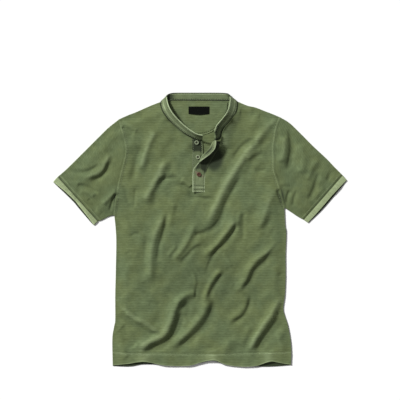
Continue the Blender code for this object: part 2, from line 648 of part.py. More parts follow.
def ribbon(name, lines, thickness, colour):
    """A strip of cloth round a grid of places, half its thickness to each side."""
    rows, columns = len(lines), len(lines[0])
    outer, inner = {}, {}
    for row in range(rows):
        for column in range(columns):
            ahead = Vector(lines[min(row + 1, rows - 1)][column]) - Vector(lines[max(row - 1, 0)][column])
            up = Vector(lines[row][min(column + 1, columns - 1)]) - Vector(lines[row][max(column - 1, 0)])
            normal = up.cross(ahead).normalized() * (thickness / 2)
            place = Vector(lines[row][column])
            outer[row, column] = above_floor(place + normal)
            inner[row, column] = above_floor(place - normal)
    return wall(name, outer, inner, grid_cells(rows, columns), colour)


def band_seam_height(row):
    """Height of the stand's seam: on the front panel, on the back one, or in the fold between."""
    if row.layer == "open":
        return row.lift
    if row.layer == "front":
        return cloth_height(row.seam_x, row.seam_y) - WALL / 2 + row.lift
    return BAND_WALL / 2 + row.lift * (row.layer == "fold")


def make_stand_collar():
    """The stand: flat behind the neck, turned over at the neck points, standing up in front."""
    table = []
    for row in BAND_ROWS:
        seam = band_seam_height(row)
        table.append((row.seam_x, row.seam_y, seam, row.edge_x, row.edge_y, seam + row.rise))
    dense = smooth_rows(table, CURVE_STEPS)
    lengths = [0.0]
    for a, b in zip(dense, dense[1:]):
        lengths.append(lengths[-1] + 0.5 * (math.dist(a[:3], b[:3]) + math.dist(a[3:], b[3:])))
    wanted = np.linspace(0.0, lengths[-1], BAND_SECTIONS + 1)
    sections = zip(*(np.interp(wanted, lengths, column) for column in zip(*dense)))
    lines = []
    for section in sections:
        seam, edge = Vector(section[:3]), Vector(section[3:])
        lines.append([seam.lerp(edge, step / BAND_COLUMNS) for step in range(BAND_COLUMNS + 1)])
    ribbon("stand_collar", lines, BAND_WALL, BAND_GREEN)


def strip_lines(table, rows, columns):
    """Lines of a placket from its free edge over the place half way to its sewn edge."""
    heights = []
    for row in table:
        sewn_z = cloth_height(row.sewn_x, row.sewn_y) - WALL / 2 + row.sewn_lift
        heights.append((*row[:8], sewn_z))
    dense = smooth_rows(heights, CURVE_STEPS)
    wanted = np.linspace(0, len(dense) - 1, rows + 1)
    lines = []
    for section in zip(*(np.interp(wanted, range(len(dense)), part) for part in zip(*dense))):
        free, half, sewn = Vector(section[:3]), Vector(section[3:6]), Vector(section[6:])
        line = []
        for step in range(columns + 1):
            share = step / columns
            line.append(free * (2 * share - 1) * (share - 1) + half * 4 * share * (1 - share)
                        + sewn * share * (2 * share - 1))
        lines.append(line)
    return lines


def make_plackets():
    """The button stand below and the buttonhole placket above it, open and curled at its top."""
    under = strip_lines(UNDER_PLACKET_ROWS, UNDER_ROWS, UNDER_COLUMNS)
    over = strip_lines(OVER_PLACKET_ROWS, OVER_ROWS, OVER_COLUMNS)
    ribbon("button_placket", under, UNDER_PLACKET_WALL, BAND_GREEN)
    ribbon("buttonhole_placket", over, OVER_PLACKET_WALL, BAND_GREEN)
    return under, over


def resting_on(lines, thickness, x, y):
    """The turn and place of something small that lies on a placket."""
    rows, columns = len(lines), len(lines[0])
    row, column = min(
        ((row, column) for row in range(1, rows - 1) for column in range(1, columns - 1)),
        key=lambda key: math.hypot(lines[key[0]][key[1]].x - x, lines[key[0]][key[1]].y - y))
    along = lines[row + 1][column] - lines[row - 1][column]
    sideways = lines[row][column + 1] - lines[row][column - 1]
    normal = sideways.cross(along).normalized()
    if normal.z < 0:
        normal.negate()
    near = lines[row][column]
    height = near.z - ((x - near.x) * normal.x + (y - near.y) * normal.y) / normal.z
    place = Vector((x, y, height)) + normal * (thickness / 2 + BUTTON_LIFT)
    turn = normal.to_track_quat("Z", "Y").to_matrix().to_4x4()
    return Matrix.Translation(place * MM) @ turn


# --- trim ---------------------------------------------------------------------------------------

def make_button(button, placement):
    """A turned button with a dished face and four holes."""
    face = BUTTON_THICKNESS - BUTTON_DISH_DEPTH
    inner_radius = BUTTON_RADIUS - BUTTON_ROUNDING
    profile = [
        (0.0, face), (BUTTON_DISH_RADIUS - BUTTON_ROUNDING, face), (BUTTON_DISH_RADIUS, BUTTON_THICKNESS),
        (inner_radius, BUTTON_THICKNESS), (BUTTON_RADIUS, BUTTON_THICKNESS - BUTTON_ROUNDING),
        (BUTTON_RADIUS, BUTTON_ROUNDING), (inner_radius, 0.0), (0.0, 0.0)]
    bm = bmesh.new()
    verts = [bm.verts.new((radius, 0.0, z)) for radius, z in profile]
    edges = [bm.edges.new(pair) for pair in zip(verts, verts[1:])]
    bmesh.ops.spin(bm, geom=verts + edges, cent=(0, 0, 0), axis=(0, 0, 1), angle=math.tau,
                   steps=BUTTON_SIDES, use_merge=True)
    bmesh.ops.remove_doubles(bm, verts=bm.verts, dist=0.001)
    made = finish(bm, button.name, HORN_BROWN, 0.4)
    made.matrix_world = placement
    drill = bmesh.new()
    for step in range(4):
        turn = math.pi / 4 + step * math.pi / 2
        hole = bmesh.ops.create_cone(
            drill, cap_ends=True, segments=HOLE_SIDES, radius1=BUTTON_HOLE_RADIUS, radius2=BUTTON_HOLE_RADIUS,
            depth=4 * BUTTON_THICKNESS)["verts"]
        bmesh.ops.translate(drill, verts=hole, vec=(
            BUTTON_HOLE_SPACING * math.cos(turn), BUTTON_HOLE_SPACING * math.sin(turn), 0.0))
    cutter = finish(drill, button.name + "_holes", HORN_BROWN)
    cutter.matrix_world = placement
    cutter.hide_render = True
    cutter.display_type = "WIRE"
    cut = made.modifiers.new("holes", "BOOLEAN")
    cut.operation = "DIFFERENCE"
    cut.object = cutter
    cut.solver = "EXACT"


def make_neck_patch_and_label():
    """The half-moon patch inside the back of the neck, and the blank woven label on it."""
    low = WALL + SEAM_GAP
    outline = [(PATCH_MIDDLE - PATCH_HALF_WIDTH, PATCH_TOP)]
    for step in range(PATCH_SIDES + 1):
        turn = math.pi * step / PATCH_SIDES
        outline.append((PATCH_MIDDLE - PATCH_HALF_WIDTH * math.cos(turn),
                        PATCH_TOP - PATCH_STRAIGHT - (PATCH_DEPTH - PATCH_STRAIGHT) * math.sin(turn)))
    outline.append((PATCH_MIDDLE + PATCH_HALF_WIDTH, PATCH_TOP))
    slab("back_neck_patch", outline, low, PATCH_WALL, INSIDE_GREEN)
    label_low = low + PATCH_WALL + SEAM_GAP
    outline = [(LABEL_LEFT, LABEL_TOP), (LABEL_LEFT, LABEL_FOOT)]
    for step in range(1, 6):
        share = step / 6
        outline.append((LABEL_LEFT + (LABEL_RIGHT - LABEL_LEFT) * share,
                        LABEL_FOOT - LABEL_BOW * math.sin(math.pi * share)))
    outline += [(LABEL_RIGHT, LABEL_FOOT), (LABEL_RIGHT, LABEL_TOP)]
    slab("neck_label", outline, label_low, LABEL_WALL, LABEL_BLACK)


def main():
    """Build every piece of the shirt."""
    for thing in list(bpy.data.objects):
        bpy.data.objects.remove(thing, do_unlink=True)
    make_back()
    make_front()
    make_sleeve("right", RIGHT_SLEEVE_TOP, RIGHT_SLEEVE_UNDER, RIGHT_ARMHOLE, -1)
    make_sleeve("left", LEFT_SLEEVE_TOP, LEFT_SLEEVE_UNDER, LEFT_ARMHOLE, 1)
    make_cuff("right", RIGHT_CUFF_TOP, RIGHT_CUFF_UNDER, RIGHT_CUFF_END, -1)
    make_cuff("left", LEFT_CUFF_TOP, LEFT_CUFF_UNDER, LEFT_CUFF_END, 1)
    make_stand_collar()
    under, over = make_plackets()
    make_neck_patch_and_label()
    collar, middle, lower = BUTTONS
    make_button(collar, resting_on(under, UNDER_PLACKET_WALL, collar.x, collar.y))
    make_button(middle, resting_on(under, UNDER_PLACKET_WALL, middle.x, middle.y))
    make_button(lower, resting_on(over, OVER_PLACKET_WALL, lower.x, lower.y))


main()
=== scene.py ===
# %% [markdown]
# # A stand-collar polo shirt, laid flat on its back
# The shirt is knitted cotton piqué, dyed green after it was sewn and then washed, so its seams and edges are
# paler than its panels. It lies with its front up: the sleeves are spread, the buttonhole placket has fallen
# open to one side, and the front has the soft creases of a shirt that was dropped and straightened. Cloth
# like this could come out of a simulation, but the creases of one known shirt are easier to place one by one,
# so each sheet here is a grid of points that code moves into place.

# %% Load the solid model as a fixed frame
import math
from collections import namedtuple

import bpy
import numpy as np
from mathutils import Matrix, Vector


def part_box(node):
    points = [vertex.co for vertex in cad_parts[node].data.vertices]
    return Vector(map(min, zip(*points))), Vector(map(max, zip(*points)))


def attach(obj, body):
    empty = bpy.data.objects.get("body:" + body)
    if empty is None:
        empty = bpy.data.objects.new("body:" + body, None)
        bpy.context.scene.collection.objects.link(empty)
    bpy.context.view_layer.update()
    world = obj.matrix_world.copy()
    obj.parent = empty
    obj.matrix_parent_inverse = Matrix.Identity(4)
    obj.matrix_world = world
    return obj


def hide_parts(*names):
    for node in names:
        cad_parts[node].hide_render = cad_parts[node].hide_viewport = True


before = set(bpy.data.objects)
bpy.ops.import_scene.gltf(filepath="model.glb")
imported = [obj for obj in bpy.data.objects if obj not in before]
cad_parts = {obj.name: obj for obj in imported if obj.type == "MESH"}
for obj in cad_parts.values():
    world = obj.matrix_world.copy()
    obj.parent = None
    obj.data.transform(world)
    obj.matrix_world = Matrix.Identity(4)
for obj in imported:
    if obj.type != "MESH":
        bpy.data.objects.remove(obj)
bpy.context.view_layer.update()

MM = 0.001


def deselect():
    """Leave nothing selected, because an operator acts on all that is."""
    bpy.ops.object.select_all(action="DESELECT")


deselect()
print("CAD nodes:", len(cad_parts))

# %% [markdown]
# ## Camera
# The photograph looks straight down on the shirt from far away. The real camera can't be known, so a
# long lens high above the table gives the same flat view: 1.12 m of table fills the frame.

# %% Camera straight above the shirt
CAMERA_HEIGHT = 4.2
FRAME_WIDTH = 1.12
FRAME_CENTRE = (0.0, 0.0829)
SENSOR = 36.0

bpy.ops.object.camera_add(location=(*FRAME_CENTRE, CAMERA_HEIGHT), rotation=(0.0, 0.0, 0.0))
camera = bpy.context.object
camera.data.sensor_width = SENSOR
camera.data.lens = SENSOR * CAMERA_HEIGHT / FRAME_WIDTH
bpy.context.scene.camera = camera
print("lens:", round(camera.data.lens, 1), "mm")

# %% [markdown]
# ## The shirt's outline
# A laid-out shirt is read from its edges: shoulders, sleeves, sides and hem. Each edge is a short table
# of places in millimetres, measured from the photograph, and a smooth curve runs through them. The
# wearer's right is at -X.

# %% Edges of the shirt, in millimetres
RIGHT_SHOULDER = ((-112.0, 356.6), (-137.2, 346.9), (-180.0, 328.2), (-201.3, 320.0), (-226.5, 308.6))
RIGHT_SLEEVE_TOP = (
    (-226.9, 308.3), (-253.1, 287.8), (-271.0, 271.0), (-347.2, 194.9), (-376.6, 166.3), (-397.4, 148.6))
RIGHT_SLEEVE_UNDER = ((-240.1, 39.8), (-254.8, 37.0), (-273.6, 27.7), (-284.8, 23.5))
RIGHT_CUFF_TOP = ((-397.8, 148.2), (-404.6, 141.0), (-410.8, 133.6))
RIGHT_CUFF_UNDER = ((-285.1, 23.2), (-291.6, 17.2), (-296.8, 12.0))
RIGHT_CUFF_END = (
    (-410.8, 133.6), (-378.0, 107.0), (-350.0, 80.6), (-339.9, 68.2), (-318.0, 40.5), (-296.8, 12.0))
RIGHT_ARMHOLE = (
    (-226.5, 308.6), (-217.3, 276.9), (-208.0, 241.9), (-205.8, 218.7), (-212.8, 184.0), (-222.0, 149.2),
    (-229.6, 112.0), (-234.6, 79.5), (-239.7, 39.8))
RIGHT_SIDE = (
    (-239.7, 39.8), (-234.4, -22.4), (-235.5, -113.1), (-237.2, -184.5), (-237.2, -252.3),
    (-240.8, -273.8), (-245.3, -306.0), (-244.2, -381.1))
LEFT_SHOULDER = (
    (106.1, 358.0), (132.2, 346.9), (155.4, 341.6), (178.6, 332.6), (201.9, 323.7), (224.0, 314.4))
LEFT_SLEEVE_TOP = (
    (224.4, 314.1), (250.0, 298.8), (280.0, 270.2), (315.6, 234.4), (352.5, 199.9), (375.5, 175.8),
    (398.5, 153.0))
LEFT_SLEEVE_UNDER = ((236.4, 61.0), (252.6, 50.7), (272.0, 37.6), (289.5, 28.0))
LEFT_CUFF_TOP = ((398.9, 152.6), (404.8, 146.0), (410.8, 138.9))
LEFT_CUFF_UNDER = ((289.8, 27.7), (296.0, 23.4), (301.8, 19.3))
LEFT_CUFF_END = ((410.8, 138.9), (372.0, 98.0), (338.0, 58.5), (301.8, 19.3))
LEFT_ARMHOLE = (
    (224.0, 314.4), (212.5, 286.2), (208.0, 259.3), (203.6, 232.7), (204.4, 196.8), (205.2, 166.9),
    (212.5, 143.6), (221.6, 113.4), (230.4, 81.2), (236.0, 61.0))
LEFT_SIDE = (
    (236.0, 61.0), (238.3, 11.5), (241.3, -8.0), (239.4, -70.0), (239.6, -135.0), (237.4, -184.5),
    (233.0, -220.4), (237.4, -241.6), (247.2, -273.8), (255.4, -327.3), (254.5, -379.1))
FRONT_HEM = (
    (-244.2, -379.6), (-201.6, -375.4), (-156.8, -369.3), (-105.0, -379.1), (-56.0, -381.9),
    (-22.4, -379.1), (8.0, -370.0), (40.0, -365.1), (71.4, -377.4), (110.0, -383.0), (156.8, -381.1),
    (196.0, -368.5), (224.0, -373.0), (254.5, -378.0))
BACK_HEM = (
    (-244.2, -381.1), (-196.0, -382.8), (-157.0, -376.5), (-105.0, -378.5), (-56.0, -381.0), (0.0, -373.5),
    (36.0, -367.0), (71.0, -377.0), (126.0, -382.3), (196.0, -383.0), (254.5, -379.1))
BACK_NECK = (
    (-112.0, 356.6), (-98.0, 359.4), (-75.0, 361.0), (-36.0, 361.1), (4.0, 360.9), (44.0, 360.7),
    (76.0, 360.4), (93.0, 359.3), (106.1, 358.0))

print("chest laid flat:", round(LEFT_SIDE[0][0] - RIGHT_SIDE[0][0]), "mm")

# %% Smooth curves through the tables
CURVE_STEPS = 8


def smooth_line(rows, steps=CURVE_STEPS):
    """Catmull-Rom through the rows of a table, with a few steps between them."""
    rows = np.asarray(rows, dtype=float)
    padded = np.vstack([rows[:1], rows, rows[-1:]])
    spans = len(rows) - 1
    a, b, c, d = (padded[k:k + spans, None, :] for k in range(4))
    t = (np.arange(steps) / steps)[None, :, None]
    square, cube = 2 * a - 5 * b + 4 * c - d, 3 * b - a - 3 * c + d
    dense = 0.5 * (2 * b + (c - a) * t + square * t ** 2 + cube * t ** 3)
    return np.vstack([dense.reshape(-1, rows.shape[1]), rows[-1:]])


def run_lengths(lines):
    """Length along rows of places, as a mean over each row's places, from 0 at the first row."""
    steps = np.linalg.norm(np.diff(lines, axis=0), axis=2).mean(axis=1)
    return np.concatenate([[0.0], np.cumsum(steps)])


def evenly(dense, lengths, count):
    """Rows of a dense table at even steps of these lengths, ends included."""
    wanted = np.linspace(0.0, lengths[-1], count + 1)
    return np.column_stack([np.interp(wanted, lengths, column) for column in dense.T])


def spread(rows, count):
    """Places at even lengths along a smooth table."""
    dense = smooth_line(rows)
    return evenly(dense, run_lengths(dense[:, None, :2]), count)


def joined(first, second):
    """Put two curves end to end, with their shared place once."""
    return np.vstack([first, second[1:]])


print("hem:", len(smooth_line(FRONT_HEM)), "points")

# %% [markdown]
# ## Creases
# A crease in soft knitted cotton is a rounded ridge with a gentle side and a steep side, and often a
# narrow hollow beside it. The steep sides here face the lower right, away from the light. A sculpting
# brush could draw them, but a table keeps each one's place and size in plain numbers: its height, how
# far it spreads on its lit side and on its shaded side, and how deep the hollow beside it is.

# %% Every crease, in millimetres
Crease = namedtuple("Crease", "name height lit shade hollow line")

CREASES = [
    Crease("shoulder seam ridge right", 2.6, 7.8, 7.8, 0.5, ((-220, 305), (-199, 291), (-174, 273))),
    Crease("shoulder hollow right", -2.9, 7.2, 7.2, 0, ((-217, 289), (-202, 279), (-182, 268))),
    Crease("upper shoulder hollow right", -2.1, 8.4, 8.4, 0, ((-213, 311), (-188, 315), (-154, 317))),
    Crease("chest ridge", 5.2, 13.0, 11.7, 0.5,
           ((-120, 284), (-137, 256), (-148, 228), (-158, 195), (-167, 164))),
    Crease("chest hollow", -3.1, 9.6, 9.6, 0, ((-165, 234), (-174, 206), (-182, 175), (-192, 136))),
    Crease("lower chest ridge", 5.1, 13.0, 11.7, 0.7,
           ((-92, 200), (-109, 167), (-126, 133), (-143, 100), (-155, 69))),
    Crease("lower chest fork", -2.5, 6.0, 7.2, 0, ((-120, 122), (-101, 139), (-84, 144), (-56, 146))),
    Crease("lower chest fork ridge", 1.8, 7.8, 6.5, 0.3, ((-112, 144), (-95, 156), (-73, 158))),
    Crease("lower chest hollow", -1.9, 7.2, 7.2, 0, ((-90, 161), (-106, 136), (-122, 108), (-132, 83))),
    Crease("placket foot hollow", -4.6, 6.0, 7.2, 0,
           ((-70, 130), (-48, 123), (-34, 114), (-20, 98), (0, 89), (20, 85), (48, 86))),
    Crease("placket foot ridge", 3.0, 9.1, 6.5, 0.0, ((-53, 139), (-36, 130), (-25, 119))),
    Crease("faint side crease", -1.2, 3.6, 3.6, 0, ((-182, 116), (-182, 91), (-183, 58))),
    Crease("armpit dimple right", -1.5, 6.0, 7.2, 0, ((-218, 122), (-207, 102), (-202, 74))),
    Crease("right waist ridge", 5.5, 13.0, 11.7, 0.4,
           ((-98, 52), (-113, 16), (-129, -24), (-136, -68), (-138, -113), (-139, -155))),
    Crease("right waist hollow", -2.7, 4.8, 7.2, 0,
           ((-90, 52), (-98, 10), (-108, -29), (-115, -63), (-119, -96))),
    Crease("right waist left dent", -1.2, 6.0, 8.4, 0, ((-150, -12), (-154, -52), (-155, -96))),
    Crease("right waist end hollow", -1.4, 6.0, 7.2, 0, ((-157, -144), (-148, -161), (-132, -164))),
    Crease("inner waist ridge", 2.2, 7.8, 7.8, 0.3, ((-73, 74), (-80, 44), (-84, 7))),
    Crease("centre ridge", 4.4, 11.7, 9.1, 0.5,
           ((-14, 21), (-25, -10), (-39, -38), (-59, -67), (-76, -82))),
    Crease("centre hollow", -3.1, 4.8, 7.2, 0, ((8, -46), (-15, -54), (-36, -75), (-56, -94))),
    Crease("centre fork ridge", 2.2, 5.2, 5.2, 0.4, ((-67, -43), (-80, -60), (-92, -75))),
    Crease("neck root hollow", -3.7, 7.2, 8.4, 0, ((62, 27), (42, 9), (22, -4), (-11, -16))),
    Crease("centre small hollow", -1.9, 4.8, 6.0, 0, ((-14, -15), (0, -10), (17, -12))),
    Crease("belly thin ridge", 1.8, 4.4, 5.2, 0.4, ((-53, -98), (-32, -109), (-17, -130), (-11, -169))),
    Crease("long ridge top", 3.8, 11.7, 11.7, 0.5, ((221, 321), (196, 297), (174, 270), (151, 240))),
    Crease("long ridge", 6.4, 14.3, 13.0, 0.9,
           ((179, 273), (143, 230), (115, 192), (91, 154), (67, 114), (48, 74), (31, 35), (11, -4))),
    Crease("long hollow", -3.4, 6.0, 9.6, 0,
           ((120, 150), (104, 128), (87, 97), (71, 66), (56, 27), (34, 2))),
    Crease("upper chest hollow", -3.7, 7.2, 10.8, 0,
           ((160, 254), (137, 245), (120, 233), (106, 216), (90, 192))),
    Crease("upper chest small ridge", 2.0, 7.8, 6.5, 0.3, ((174, 223), (151, 212), (132, 195))),
    Crease("right of long ridge", -1.7, 8.4, 9.6, 0, ((174, 217), (146, 184), (123, 144))),
    Crease("small side pucker", -1.4, 3.6, 4.8, 0, ((151, 166), (168, 167), (188, 171))),
    Crease("middle ridge", 5.6, 10.4, 9.1, 1.2, ((104, 32), (83, 4), (60, -25), (36, -50), (8, -77))),
    Crease("middle hollow", -3.1, 4.8, 7.2, 0,
           ((102, 18), (90, -10), (74, -36), (45, -63), (28, -91), (15, -130))),
    Crease("right of middle ridge", 2.4, 5.2, 6.5, 0.8, ((111, 49), (106, 21), (105, -10))),
    Crease("right of middle hollow", -1.5, 4.8, 6.0, 0, ((123, 49), (121, 16), (119, -29))),
    Crease("left underarm ridge", 4.0, 14.3, 11.7, 0.5,
           ((216, 114), (196, 88), (186, 60), (176, 30), (157, -4))),
    Crease("left underarm low hollow", -2.0, 7.2, 8.4, 0, ((202, 49), (190, 21), (174, -7))),
    Crease("left side dimple", -1.4, 6.0, 7.2, 0, ((213, 10), (199, -10), (190, -29))),
    Crease("left waist ridge", 5.8, 11.7, 10.4, 0.9,
           ((218, -40), (188, -63), (158, -84), (139, -110), (123, -143), (92, -178))),
    Crease("left waist hollow", -2.7, 6.0, 9.6, 0,
           ((227, -38), (202, -57), (176, -91), (153, -115), (136, -150), (120, -180))),
    Crease("left waist end hollow", -1.7, 6.0, 7.2, 0, ((92, -152), (102, -158), (115, -155))),
    Crease("belly ripple", 1.6, 5.2, 6.5, 0.4, ((62, -66), (76, -84), (87, -106))),
    Crease("belly ripple hollow", -1.4, 4.8, 6.0, 0, ((73, -105), (87, -119), (104, -124))),
    Crease("belly ridge", 4.6, 9.1, 7.8, 1.0, ((64, -110), (45, -127), (28, -151), (18, -178), (13, -208))),
    Crease("belly hollow", -2.4, 4.8, 6.0, 0, ((62, -124), (53, -138), (39, -164), (25, -194))),
    Crease("hem centre ridge", 5.2, 11.7, 10.4, 1.3,
           ((22, -189), (15, -220), (0, -248), (-25, -276), (-48, -298), (-84, -337))),
    Crease("hem centre hollow", -4.2, 7.2, 10.8, 0,
           ((39, -192), (34, -225), (20, -259), (-6, -290), (-36, -313), (-78, -337))),
    Crease("small centre crease", -1.5, 3.6, 4.8, 0, ((-10, -152), (-12, -172), (-14, -194))),
    Crease("hem ridge bow", 4.4, 9.1, 9.1, 0.8, ((-11, -175), (-31, -181), (-50, -192), (-66, -211))),
    Crease("hem ridge", 7.8, 14.3, 10.4, 2.2,
           ((-39, -185), (-62, -206), (-74, -234), (-83, -262), (-99, -292), (-132, -311), (-157, -327),
            (-179, -354))),
    Crease("hem hollow", -5.5, 7.2, 10.8, 0,
           ((-50, -231), (-57, -259), (-70, -292), (-94, -318), (-118, -327), (-146, -323))),
    Crease("hollow inside the bow", -2.0, 9.6, 9.6, 0, ((-36, -200), (-34, -225), (-39, -248))),
    Crease("right side ridge", 6.4, 10.4, 7.8, 0.8,
           ((-218, -217), (-200, -235), (-179, -248), (-155, -262), (-132, -276), (-109, -288))),
    Crease("right side hollow", -5.5, 6.0, 8.4, 0,
           ((-246, -250), (-227, -243), (-204, -250), (-179, -269), (-154, -286), (-134, -292),
            (-106, -290))),
    Crease("right corner hollow", -5.4, 16.8, 16.8, 0, ((-227, -276), (-204, -298), (-179, -329))),
    Crease("right corner ridge", 2.0, 9.1, 7.8, 0.0, ((-230, -320), (-216, -337), (-204, -360))),
    Crease("right side swell", 2.6, 10.4, 11.7, 0.0, ((-230, -192), (-221, -211), (-213, -231))),
    Crease("right side dent", -1.7, 6.0, 6.0, 0, ((-246, -183), (-232, -185), (-216, -192))),
    Crease("small right dimple", -1.4, 4.8, 6.0, 0, ((-143, -207), (-126, -206), (-112, -210))),
    Crease("right waist dimple", -1.5, 4.8, 4.8, 0, ((-196, -21), (-182, -11), (-168, -12))),
    Crease("right side dimple", -1.5, 4.8, 6.0, 0, ((-207, -70), (-193, -64), (-179, -71))),
    Crease("right lower swell", 1.6, 13.0, 13.0, 0.0, ((-202, -91), (-179, -127), (-174, -169))),
    Crease("belly side hollow", -2.9, 4.8, 7.2, 0, ((140, -183), (136, -214), (122, -242), (87, -262))),
    Crease("belly side ridge", 2.8, 10.4, 7.8, 0.3, ((129, -186), (122, -214), (106, -239), (78, -256))),
    Crease("left hem ridge", 6.9, 10.4, 11.7, 1.4,
           ((234, -169), (217, -208), (197, -242), (175, -273), (155, -304), (133, -348))),
    Crease("left hem hollow", -5.9, 9.6, 12.0, 0,
           ((235, -245), (213, -267), (193, -295), (175, -318), (157, -346))),
    Crease("left hem notch", -4.2, 4.8, 6.0, 0, ((244, -229), (230, -232), (216, -241))),
    Crease("left side upper notch", -2.5, 4.8, 6.0, 0, ((244, -122), (230, -126), (218, -133))),
    Crease("left hem swell", 2.4, 9.1, 9.1, 0.0, ((252, -281), (232, -290), (216, -309))),
    Crease("hem end ridge", 2.0, 10.4, 10.4, 0.3, ((90, -304), (76, -326), (62, -348))),
    Crease("left hem inner ridge", 2.0, 10.4, 9.1, 0.3, ((140, -270), (126, -295), (112, -326))),
    Crease("right sleeve ridge", 4.4, 10.4, 9.1, 1.0,
           ((-252, 217), (-263, 192), (-274, 171), (-297, 153), (-330, 143))),
    Crease("right sleeve hollow", -2.9, 6.0, 7.2, 0, ((-252, 192), (-262, 168), (-278, 148), (-308, 136))),
    Crease("right sleeve upper hollow", -3.8, 6.0, 7.2, 0,
           ((-378, 171), (-350, 166), (-322, 161), (-300, 167), (-280, 181))),
    Crease("right sleeve crease", -3.8, 4.8, 6.0, 0, ((-344, 123), (-325, 122), (-305, 115), (-283, 100))),
    Crease("right sleeve small ridge", 2.0, 6.5, 6.5, 0.3, ((-336, 109), (-314, 104), (-294, 91))),
    Crease("right sleeve pinch", -3.1, 6.0, 6.0, 0, ((-353, 86), (-333, 77), (-308, 66), (-288, 58))),
    Crease("right cuff pinch", -2.2, 4.8, 6.0, 0, ((-314, 86), (-300, 69), (-294, 49))),
    Crease("right underarm ridge", 3.6, 7.8, 7.8, 0.8, ((-232, 111), (-252, 93), (-272, 70))),
    Crease("right underarm hollow", -4.4, 4.3, 6.0, 0, ((-235, 102), (-242, 80), (-253, 49))),
    Crease("right underarm small hollow", -2.2, 4.8, 6.0, 0, ((-269, 52), (-277, 38), (-272, 30))),
    Crease("right sleeve head hollow", -2.5, 4.8, 6.0, 0, ((-255, 300), (-236, 290), (-224, 276))),
    Crease("right sleeve head dimple", -1.2, 6.0, 6.0, 0, ((-263, 276), (-252, 266), (-244, 254))),
    Crease("right sleeve edge dimple", -1.4, 4.8, 6.0, 0, ((-288, 262), (-277, 254), (-260, 251))),
    Crease("left shoulder hollow", -2.9, 9.6, 9.6, 0, ((109, 329), (132, 324), (160, 328))),
    Crease("left shoulder seam hollow", -2.6, 7.2, 7.2, 0, ((165, 319), (182, 316), (204, 312))),
    Crease("left sleeve hollow", -4.8, 6.0, 9.6, 0, ((249, 284), (255, 245), (253, 206), (241, 164))),
    Crease("left sleeve ridge", 4.2, 10.4, 10.4, 0.3, ((235, 262), (235, 223), (226, 184))),
    Crease("left sleeve outer ridge", 3.6, 14.3, 13.0, 0.3, ((280, 240), (288, 200), (283, 153))),
    Crease("left sleeve middle hollow", -1.7, 8.4, 9.6, 0, ((280, 150), (263, 128), (249, 94))),
    Crease("left sleeve low hollow", -3.8, 6.0, 7.2, 0, ((333, 164), (325, 133), (316, 108), (302, 80))),
    Crease("left sleeve low ridge", 2.6, 7.8, 7.8, 0.4, ((330, 195), (311, 170), (300, 136))),
    Crease("left cuff hollow", -3.6, 6.0, 7.2, 0, ((386, 175), (367, 158), (356, 133))),
    Crease("left cuff ridge", 2.0, 6.5, 6.5, 0.0, ((350, 122), (333, 105), (319, 86))),
    Crease("left underarm hollow", -5.5, 4.8, 6.0, 0, ((216, 114), (227, 84), (238, 55))),
    Crease("left underarm crease", -3.3, 4.8, 4.8, 0, ((251, 111), (245, 91), (241, 69))),
    Crease("left underarm fine crease", -1.4, 3.6, 3.6, 0, ((227, 120), (241, 121), (255, 120))),
    Crease("left underarm fold", -2.0, 4.8, 6.0, 0, ((272, 111), (263, 86), (260, 66))),
    Crease("right neck point", 3.2, 24, 24, 0, ((-158, 340), (-114, 346), (-86, 300))),
    Crease("left neck point", 3.2, 24, 24, 0, ((156, 340), (108, 347), (84, 300))),
    Crease("lifted neck edge", 8.0, 24, 24, 0, ((90, 329), (60, 272), (57, 223))),
    Crease("right hem arch", 4.0, 22, 22, 0, ((-150, -338), (-155, -366), (-157, -396))),
    Crease("centre hem arch", 4.5, 26, 26, 0, ((30, -330), (34, -362), (36, -396))),
    Crease("left hem arch", 4.0, 20, 20, 0, ((188, -336), (194, -364), (197, -396))),
]
print(len(CREASES), "creases, the highest", max(crease.height for crease in CREASES), "mm")

# %% Distance from a bent line
def pieces_of(*tables):
    """The straight pieces of several smooth lines, as rows of x, y, x, y."""
    return np.vstack([np.hstack([line[:-1, :2], line[1:, :2]]) for line in map(smooth_line, tables)])


def nearest(pieces, x, y):
    """How far places are from the nearest piece of a line, on which side, and how far along."""
    best = np.full(x.shape, 1e9)
    side = np.ones(x.shape)
    along = np.zeros(x.shape)
    for index, (x0, y0, x1, y1) in enumerate(pieces):
        dx, dy = x1 - x0, y1 - y0
        share = np.clip(((x - x0) * dx + (y - y0) * dy) / (dx * dx + dy * dy), 0.0, 1.0)
        off_x, off_y = x - x0 - share * dx, y - y0 - share * dy
        away = np.hypot(off_x, off_y)
        closer = away < best
        best = np.where(closer, away, best)
        side = np.where(closer, np.sign(off_x * dy - off_y * dx), side)
        along = np.where(closer, (index + share) / len(pieces), along)
    return best, side, along


print("the first crease is drawn as", len(pieces_of(CREASES[0].line)), "straight pieces")

# %% Smooth rises and bumps
def ease(value):
    """Rise smoothly from 0 to 1."""
    value = np.clip(value, 0.0, 1.0)
    return value * value * (3 - 2 * value)


def bump_at(away, width):
    """A soft bump across a line."""
    return np.exp(-(away / width) ** 2)


print("one width out, a bump is down to", round(float(bump_at(1.0, 1.0)), 2), "of its height")

# %% Height of one crease
SHADE_DIRECTION = (1.0, -1.0)          # away from the light
CREASE_STEPS = 4                       # straight pieces between two places of a crease
CREASE_ENDS = 0.19                     # share of its length over which it fades at each end
CREASE_REACH = 3.5                     # how many of its widths away it still counts
HOLLOW_AWAY, HOLLOW_WIDTH = 1.7, 0.8   # its hollow, in widths of its shaded side


